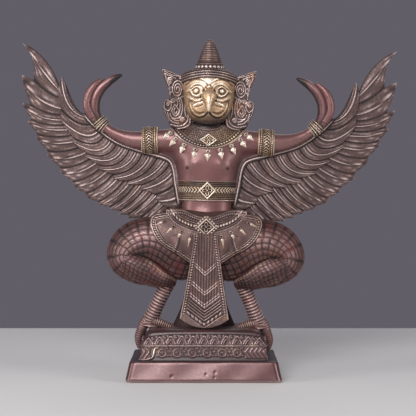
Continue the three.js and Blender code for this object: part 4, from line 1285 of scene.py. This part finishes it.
def fill_mesh(mesh, shapes):
    """Fills a mesh with shapes, and returns its points and marks."""
    loops, sizes, start = [], [], 0
    for shape in shapes:
        loops += [(shape.quads + start).reshape(-1), (shape.tris + start).reshape(-1)]
        sizes += [np.full(len(shape.quads), 4), np.full(len(shape.tris), 3)]
        start += len(shape.points)
    points = np.vstack([shape.points for shape in shapes])
    loops, sizes = np.concatenate(loops), np.concatenate(sizes)
    mesh.vertices.add(len(points))
    mesh.vertices.foreach_set("co", points.reshape(-1))
    mesh.loops.add(len(loops))
    mesh.loops.foreach_set("vertex_index", loops)
    mesh.polygons.add(len(sizes))
    mesh.polygons.foreach_set("loop_start", np.cumsum(sizes) - sizes)
    mesh.update(calc_edges=True)
    marks = {name: np.concatenate([shape.marks[name] for shape in shapes]) for name in MARKS}
    return points, marks


def skin(shapes, voxel, rounds):
    """One smooth skin round all the shapes."""
    mesh = bpy.data.meshes.new("skin")
    fill_mesh(mesh, shapes)
    holder = placed("skin", mesh)
    remesh = holder.modifiers.new("remesh", "REMESH")
    remesh.mode = "VOXEL"
    remesh.voxel_size = voxel
    evaluated = holder.evaluated_get(bpy.context.evaluated_depsgraph_get())
    made = bpy.data.meshes.new_from_object(evaluated)
    bpy.data.objects.remove(holder)
    points = read_back(made.vertices, "co", 3)
    edges = read_back(made.edges, "vertices", 2, int)
    quads = [tuple(face.vertices) for face in made.polygons]
    return Shape(smoothed(points, edges, rounds), quads)


def stood(points):
    """Figure coordinates to the frame: leaned, lifted onto the tier, in metres."""
    x, y, z = points.T
    c, s = math.cos(LEAN), math.sin(LEAN)
    return np.column_stack([x * c + z * s, y, z * c - x * s + TIER_TOP]) * MM


def make_piece(name, shapes, material, nodes, slot, contrast, upright=False):
    """One piece from its shapes, with the attributes that its material reads.

    The tone follows how far each point stands out of its eased surroundings, times the contrast.
    """
    mesh = bpy.data.meshes.new(name)
    points, marks = fill_mesh(mesh, shapes)
    lifted = points - smoothed(points, read_back(mesh.edges, "vertices", 2, int), TONE_ROUNDS)
    height = np.sum(lifted * read_back(mesh.vertices, "normal", 3), 1)
    # The shade mark holds the carving's darks and brights and also painted shade and painted
    # highlights.
    marks["tone"] = clamp(0.5 + contrast * height + marks.pop("shade"))
    mesh.vertices.foreach_set("co", (points * MM if upright else stood(points)).reshape(-1))
    mesh.update()
    for label, values in marks.items():
        layer = mesh.attributes.new(label, "FLOAT", "POINT")
        layer.data.foreach_set("value", values.astype(np.float32))
    mesh.polygons.foreach_set("use_smooth", np.ones(len(mesh.polygons), bool))
    mesh.materials.append(material)
    piece = placed(name, mesh)
    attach(piece, "root")
    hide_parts(*nodes)


# Materials. Tones are the colours in the carving, on level ground and on rubbed ridges.

# The dark and bright tones also colour painted shade and painted highlights.
BODY_TONES = ((0.012, 0.005, 0.005), (0.178, 0.076, 0.074), (0.47, 0.33, 0.315))
WING_TONES = ((0.008, 0.004, 0.004), (0.099, 0.058, 0.055), (0.56, 0.435, 0.41))
LEG_TONES = ((0.008, 0.003, 0.003), (0.120, 0.055, 0.053), (0.46, 0.325, 0.31))
CARVED_TONES = ((0.010, 0.005, 0.004), (0.112, 0.064, 0.056), (0.54, 0.43, 0.40))
CLOTH_TONES = ((0.009, 0.004, 0.004), (0.118, 0.064, 0.058), (0.50, 0.38, 0.355))
PLINTH_TONES = ((0.014, 0.005, 0.005), (0.118, 0.047, 0.048), (0.44, 0.325, 0.31))
BRASS_TONES = ((0.03, 0.014, 0.006), (0.50, 0.315, 0.17), (0.97, 0.845, 0.69))
TONE_STOPS = (0.14, 0.5, 0.86)
RED_PIGMENT = (0.17, 0.02, 0.016, 1)
RUST_PIGMENT = (0.33, 0.125, 0.04, 1)
# Noise of the patina: scale, detail, roughness.
CLOUDS = (38, 4, 0.55)
SPECKS = (420, 3, 0.6)
RED_PATCHES = (30, 2, 0.5)
RUST_SPOTS = (70, 3, 0.6)
RED_CELLS = 170
# The run of each noise that is used, and how far it moves the tone.
CLOUD_RUN, CLOUD_SWING = (0.3, 0.7), 0.09
SPECK_RUN, SPECK_SWING = (0.25, 0.75), 0.07
RED_RUN = (1.36, 1.56)
RUST_RUN = (0.54, 0.68)
BARB_SWING = 0.07
# Tones between which pigment and brass come out of the carving.
RUBBED_RUN = (0.3, 0.55)
GRAIN_DEPTH = 0.0004
FLOOR_COLOUR = (0.74, 0.73, 0.72, 1)


class Wiring:
    """Adds nodes to a material. A value is a number, a colour or another node's output."""

    def __init__(self, material):
        self.nodes, self.links = material.node_tree.nodes, material.node_tree.links
        self.place = self.nodes.new("ShaderNodeTexCoord").outputs["Object"]

    def feed(self, node, values):
        for socket, value in values.items():
            if isinstance(value, bpy.types.NodeSocket):
                self.links.new(value, node.inputs[socket])
            else:
                node.inputs[socket].default_value = value
        return node

    def add(self, kind, values):
        return self.feed(self.nodes.new("ShaderNode" + kind), values)

    def mark(self, name):
        node = self.add("Attribute", {})
        node.attribute_name = name
        return node.outputs["Fac"]

    def noise(self, scale, detail, roughness):
        values = {"Vector": self.place, "Scale": scale, "Detail": detail, "Roughness": roughness}
        return self.add("TexNoise", values).outputs["Fac"]

    def cells(self, scale):
        """A random value for each small cell of the surface."""
        node = self.add("TexVoronoi", {"Vector": self.place, "Scale": scale})
        node.distance = "CHEBYCHEV"
        return self.add("SeparateColor", {"Color": node.outputs["Color"]}).outputs[0]

    def span(self, value, low, high, to_low, to_high):
        """The value's run from low to high, carried to another run."""
        ends = {"From Min": low, "From Max": high, "To Min": to_low, "To Max": to_high}
        return self.add("MapRange", {"Value": value, **ends}).outputs["Result"]

    def math(self, operation, *values):
        node = self.add("Math", dict(enumerate(values)))
        node.operation = operation
        return node.outputs[0]

    def blend(self, share, first, second):
        node = self.add("Mix", {})
        node.data_type = "RGBA"
        return self.feed(node, {0: share, 6: first, 7: second}).outputs[2]

    def ramp(self, level, colours):
        node = self.add("ValToRGB", {"Fac": level})
        stops = node.color_ramp.elements
        stops.new(TONE_STOPS[1])
        for stop, position, colour in zip(stops, TONE_STOPS, colours):
            stop.position = position
            stop.color = (*colour, 1)
        return node.outputs["Color"]


def patina(name, tones, roughness, metallic, rust=0.0, red=0.0, grain=0.25, coat=0.0, worn=1.0):
    """Patinated bronze: dark in the carving, rubbed bright on the ridges, brass where gilded.

    rust and red are the strength of those stains, grain of the fine roughness, coat of the gloss
    and worn of the cloudy wear.
    """
    material = bpy.data.materials.new(name)
    material.use_nodes = True
    wiring = Wiring(material)
    fine = wiring.noise(*SPECKS)
    clouds = wiring.noise(*CLOUDS)
    mottle = wiring.span(clouds, *CLOUD_RUN, -CLOUD_SWING * worn, CLOUD_SWING * worn)
    speck = wiring.span(fine, *SPECK_RUN, -SPECK_SWING * worn, SPECK_SWING * worn)
    wave = wiring.math("SINE", wiring.math("MULTIPLY", wiring.mark("barb"), TURN / BARB_PITCH))
    combed = wiring.math("MULTIPLY", wave, BARB_SWING)
    # The tone carries the carving and also painted shade and painted highlights.
    level = wiring.mark("tone")
    for wear in (mottle, speck, combed):
        level = wiring.math("ADD", level, wear)
    rubbed = wiring.span(level, *RUBBED_RUN, 0.35, 1.0)
    colour = wiring.ramp(level, tones)
    stains = []
    if red:
        chance = wiring.math("ADD", wiring.noise(*RED_PATCHES), wiring.cells(RED_CELLS))
        stains.append((wiring.span(chance, *RED_RUN, 0.0, red), RED_PIGMENT))
    if rust:
        spots = wiring.noise(*RUST_SPOTS)
        stains.append((wiring.span(spots, *RUST_RUN, 0.0, rust), RUST_PIGMENT))
    stains.append((wiring.mark("gilt"), wiring.ramp(level, BRASS_TONES)))
    for amount, stain in stains:
        colour = wiring.blend(wiring.math("MULTIPLY", amount, rubbed), colour, stain)
    height = wiring.math("ADD", fine, combed)
    bumps = {"Strength": grain, "Distance": GRAIN_DEPTH, "Height": height}
    surface = {
        "Base Color": colour,
        "Roughness": wiring.span(level, 0.1, 0.8, roughness + 0.3, roughness - 0.04),
        "Metallic": wiring.span(level, 0.1, 0.6, 0.1, metallic),
        "Coat Weight": coat,
        "Coat Roughness": 0.22,
        "Normal": wiring.add("Bump", bumps).outputs["Normal"],
    }
    wiring.feed(wiring.nodes["Principled BSDF"], surface)
    return material


def floor_material():
    material = bpy.data.materials.new("pale_floor")
    material.use_nodes = True
    shader = material.node_tree.nodes["Principled BSDF"]
    shader.inputs["Base Color"].default_value = FLOOR_COLOUR
    shader.inputs["Roughness"].default_value = 0.7
    return material


# Scene.

WORLD_COLOUR = (0.30, 0.28, 0.34, 1)
WORLD_STRENGTH = 0.40
FIGURE_MIDDLE = Vector((0, 0, 0.17))
# Lights: name, place, size, power.
LIGHTS = [
    ("key", (-0.35, -1.35, 0.85), (0.8, 0.7), 19),
    ("left", (-1.2, -0.5, 0.4), (0.4, 1.0), 7),
    ("right", (1.2, -0.6, 0.45), (0.4, 1.0), 7),
    ("rim", (0.2, 0.9, 0.9), (0.9, 0.5), 1.5),
]
FLOOR_HALF = 1.2
FLOOR_BACK = 0.42
CAMERA_DISTANCE = 1.4
CAMERA_ELEVATION = math.radians(1.5)
CAMERA_AIM = (0.0039, 0.0, 0.1645)
CAMERA_HALF_ANGLE = math.radians(8.28)
SENSOR_WIDTH = 36


def area_light(name, place, size, power):
    light = bpy.data.lights.new(name, "AREA")
    light.shape = "RECTANGLE"
    light.size, light.size_y = size
    light.energy = power
    holder = placed(name, light)
    holder.location = place
    holder.rotation_euler = (FIGURE_MIDDLE - Vector(place)).to_track_quat("-Z", "Y").to_euler()


def studio():
    world = bpy.data.worlds.new("studio")
    bpy.context.scene.world = world
    bpy.context.scene.view_settings.view_transform = "Standard"
    world.use_nodes = True
    world.node_tree.nodes["Background"].inputs["Color"].default_value = WORLD_COLOUR
    world.node_tree.nodes["Background"].inputs["Strength"].default_value = WORLD_STRENGTH
    for light in LIGHTS:
        area_light(*light)


def floor():
    mesh = bpy.data.meshes.new("floor")
    left, right, front = -FLOOR_HALF, FLOOR_HALF, -FLOOR_HALF
    corners = [(left, front, 0), (right, front, 0), (right, FLOOR_BACK, 0), (left, FLOOR_BACK, 0)]
    mesh.from_pydata(corners, [], [(0, 1, 2, 3)])
    mesh.materials.append(floor_material())
    made = placed("floor", mesh)


def camera():
    data = bpy.data.cameras.new("camera")
    data.sensor_width = SENSOR_WIDTH
    data.lens = SENSOR_WIDTH / 2 / math.tan(CAMERA_HALF_ANGLE)
    data.dof.use_dof = False
    holder = placed("camera", data)
    x, y, z = CAMERA_AIM
    back = CAMERA_DISTANCE * math.cos(CAMERA_ELEVATION)
    holder.location = (x, y - back, z + CAMERA_DISTANCE * math.sin(CAMERA_ELEVATION))
    holder.rotation_euler = (TURN / 4 - CAMERA_ELEVATION, 0, 0)
    bpy.context.scene.camera = holder


def tree_of(shapes):
    """The faces of shapes, for finding the nearest place or the first one along a line."""
    starts = np.cumsum([0] + [len(shape.points) for shape in shapes])
    points = np.vstack([shape.points for shape in shapes])
    quads = np.vstack([shape.quads + start for shape, start in zip(shapes, starts)])
    return BVHTree.FromPolygons(points.tolist(), quads.tolist())


def build():
    body_bronze = patina("body_bronze", BODY_TONES, 0.33, 0.6, grain=0.05, coat=0.2, worn=0.4)
    wing_bronze = patina("wing_bronze", WING_TONES, 0.5, 0.55, rust=0.12, grain=0.5)
    leg_bronze = patina("leg_bronze", LEG_TONES, 0.44, 0.5, rust=0.2, red=0.5)
    cloth_bronze = patina("cloth_bronze", CLOTH_TONES, 0.36, 0.55, rust=0.25)
    carved_bronze = patina("carved_bronze", CARVED_TONES, 0.36, 0.65, rust=0.35)
    plinth_bronze = patina("plinth_bronze", PLINTH_TONES, 0.22, 0.6, grain=0.06, coat=0.4, worn=0.4)

    body = body_skin()
    trunk = tree_of([body])
    dressed = tree_of([body, *both([limb(LEG, 48, 60, 0.06)])])
    armlet = arm_ring(*ARMLET, armlet_relief, 0.7)
    wristlet = arm_ring(*WRISTLET, wristlet_relief, 0.45)
    feathers, right_leg = wing(), leg()
    head = [*face(), crown(), *both([ear()])]
    jewels = [*collar(trunk), *collar_drops(trunk), *waist_belt()]
    belt = [hip_front(), hip_band(), *pendant()]
    cloth = [*belt, *both([skirt(dressed), *skirt_drops()]), sash()]
    pieces = [
        ("body", [body, *both(hand())], body_bronze, "figure_bronze", 0.2),
        ("wing_right", feathers, wing_bronze, "wing_bronze", 0.12),
        ("wing_left", mirrored(feathers), wing_bronze, "wing_bronze", 0.12),
        ("leg_right", right_leg, leg_bronze, "figure_bronze", 0.2),
        ("leg_left", mirrored(right_leg), leg_bronze, "figure_bronze", 0.2),
        ("tail_cloth", [tail()], cloth_bronze, "figure_bronze", 0.2),
        ("head", head, carved_bronze, "gilt_brass", 0.3),
        ("collar_and_belt", jewels, carved_bronze, "gilt_brass", 0.5),
        ("arm_bands", both([armlet, wristlet]), carved_bronze, "gilt_brass", 0.15),
        ("skirt_and_sash", cloth, cloth_bronze, "figure_bronze", 0.2),
    ]
    for name, shapes, material, slot, contrast in pieces:
        make_piece(name, shapes, material, ("garuda_figure",), slot, contrast)
    base = ("plinth_carved", [plinth()], plinth_bronze, ("plinth",), "plinth_bronze")
    make_piece(*base, 0.05, upright=True)


studio()
camera()
floor()
build()
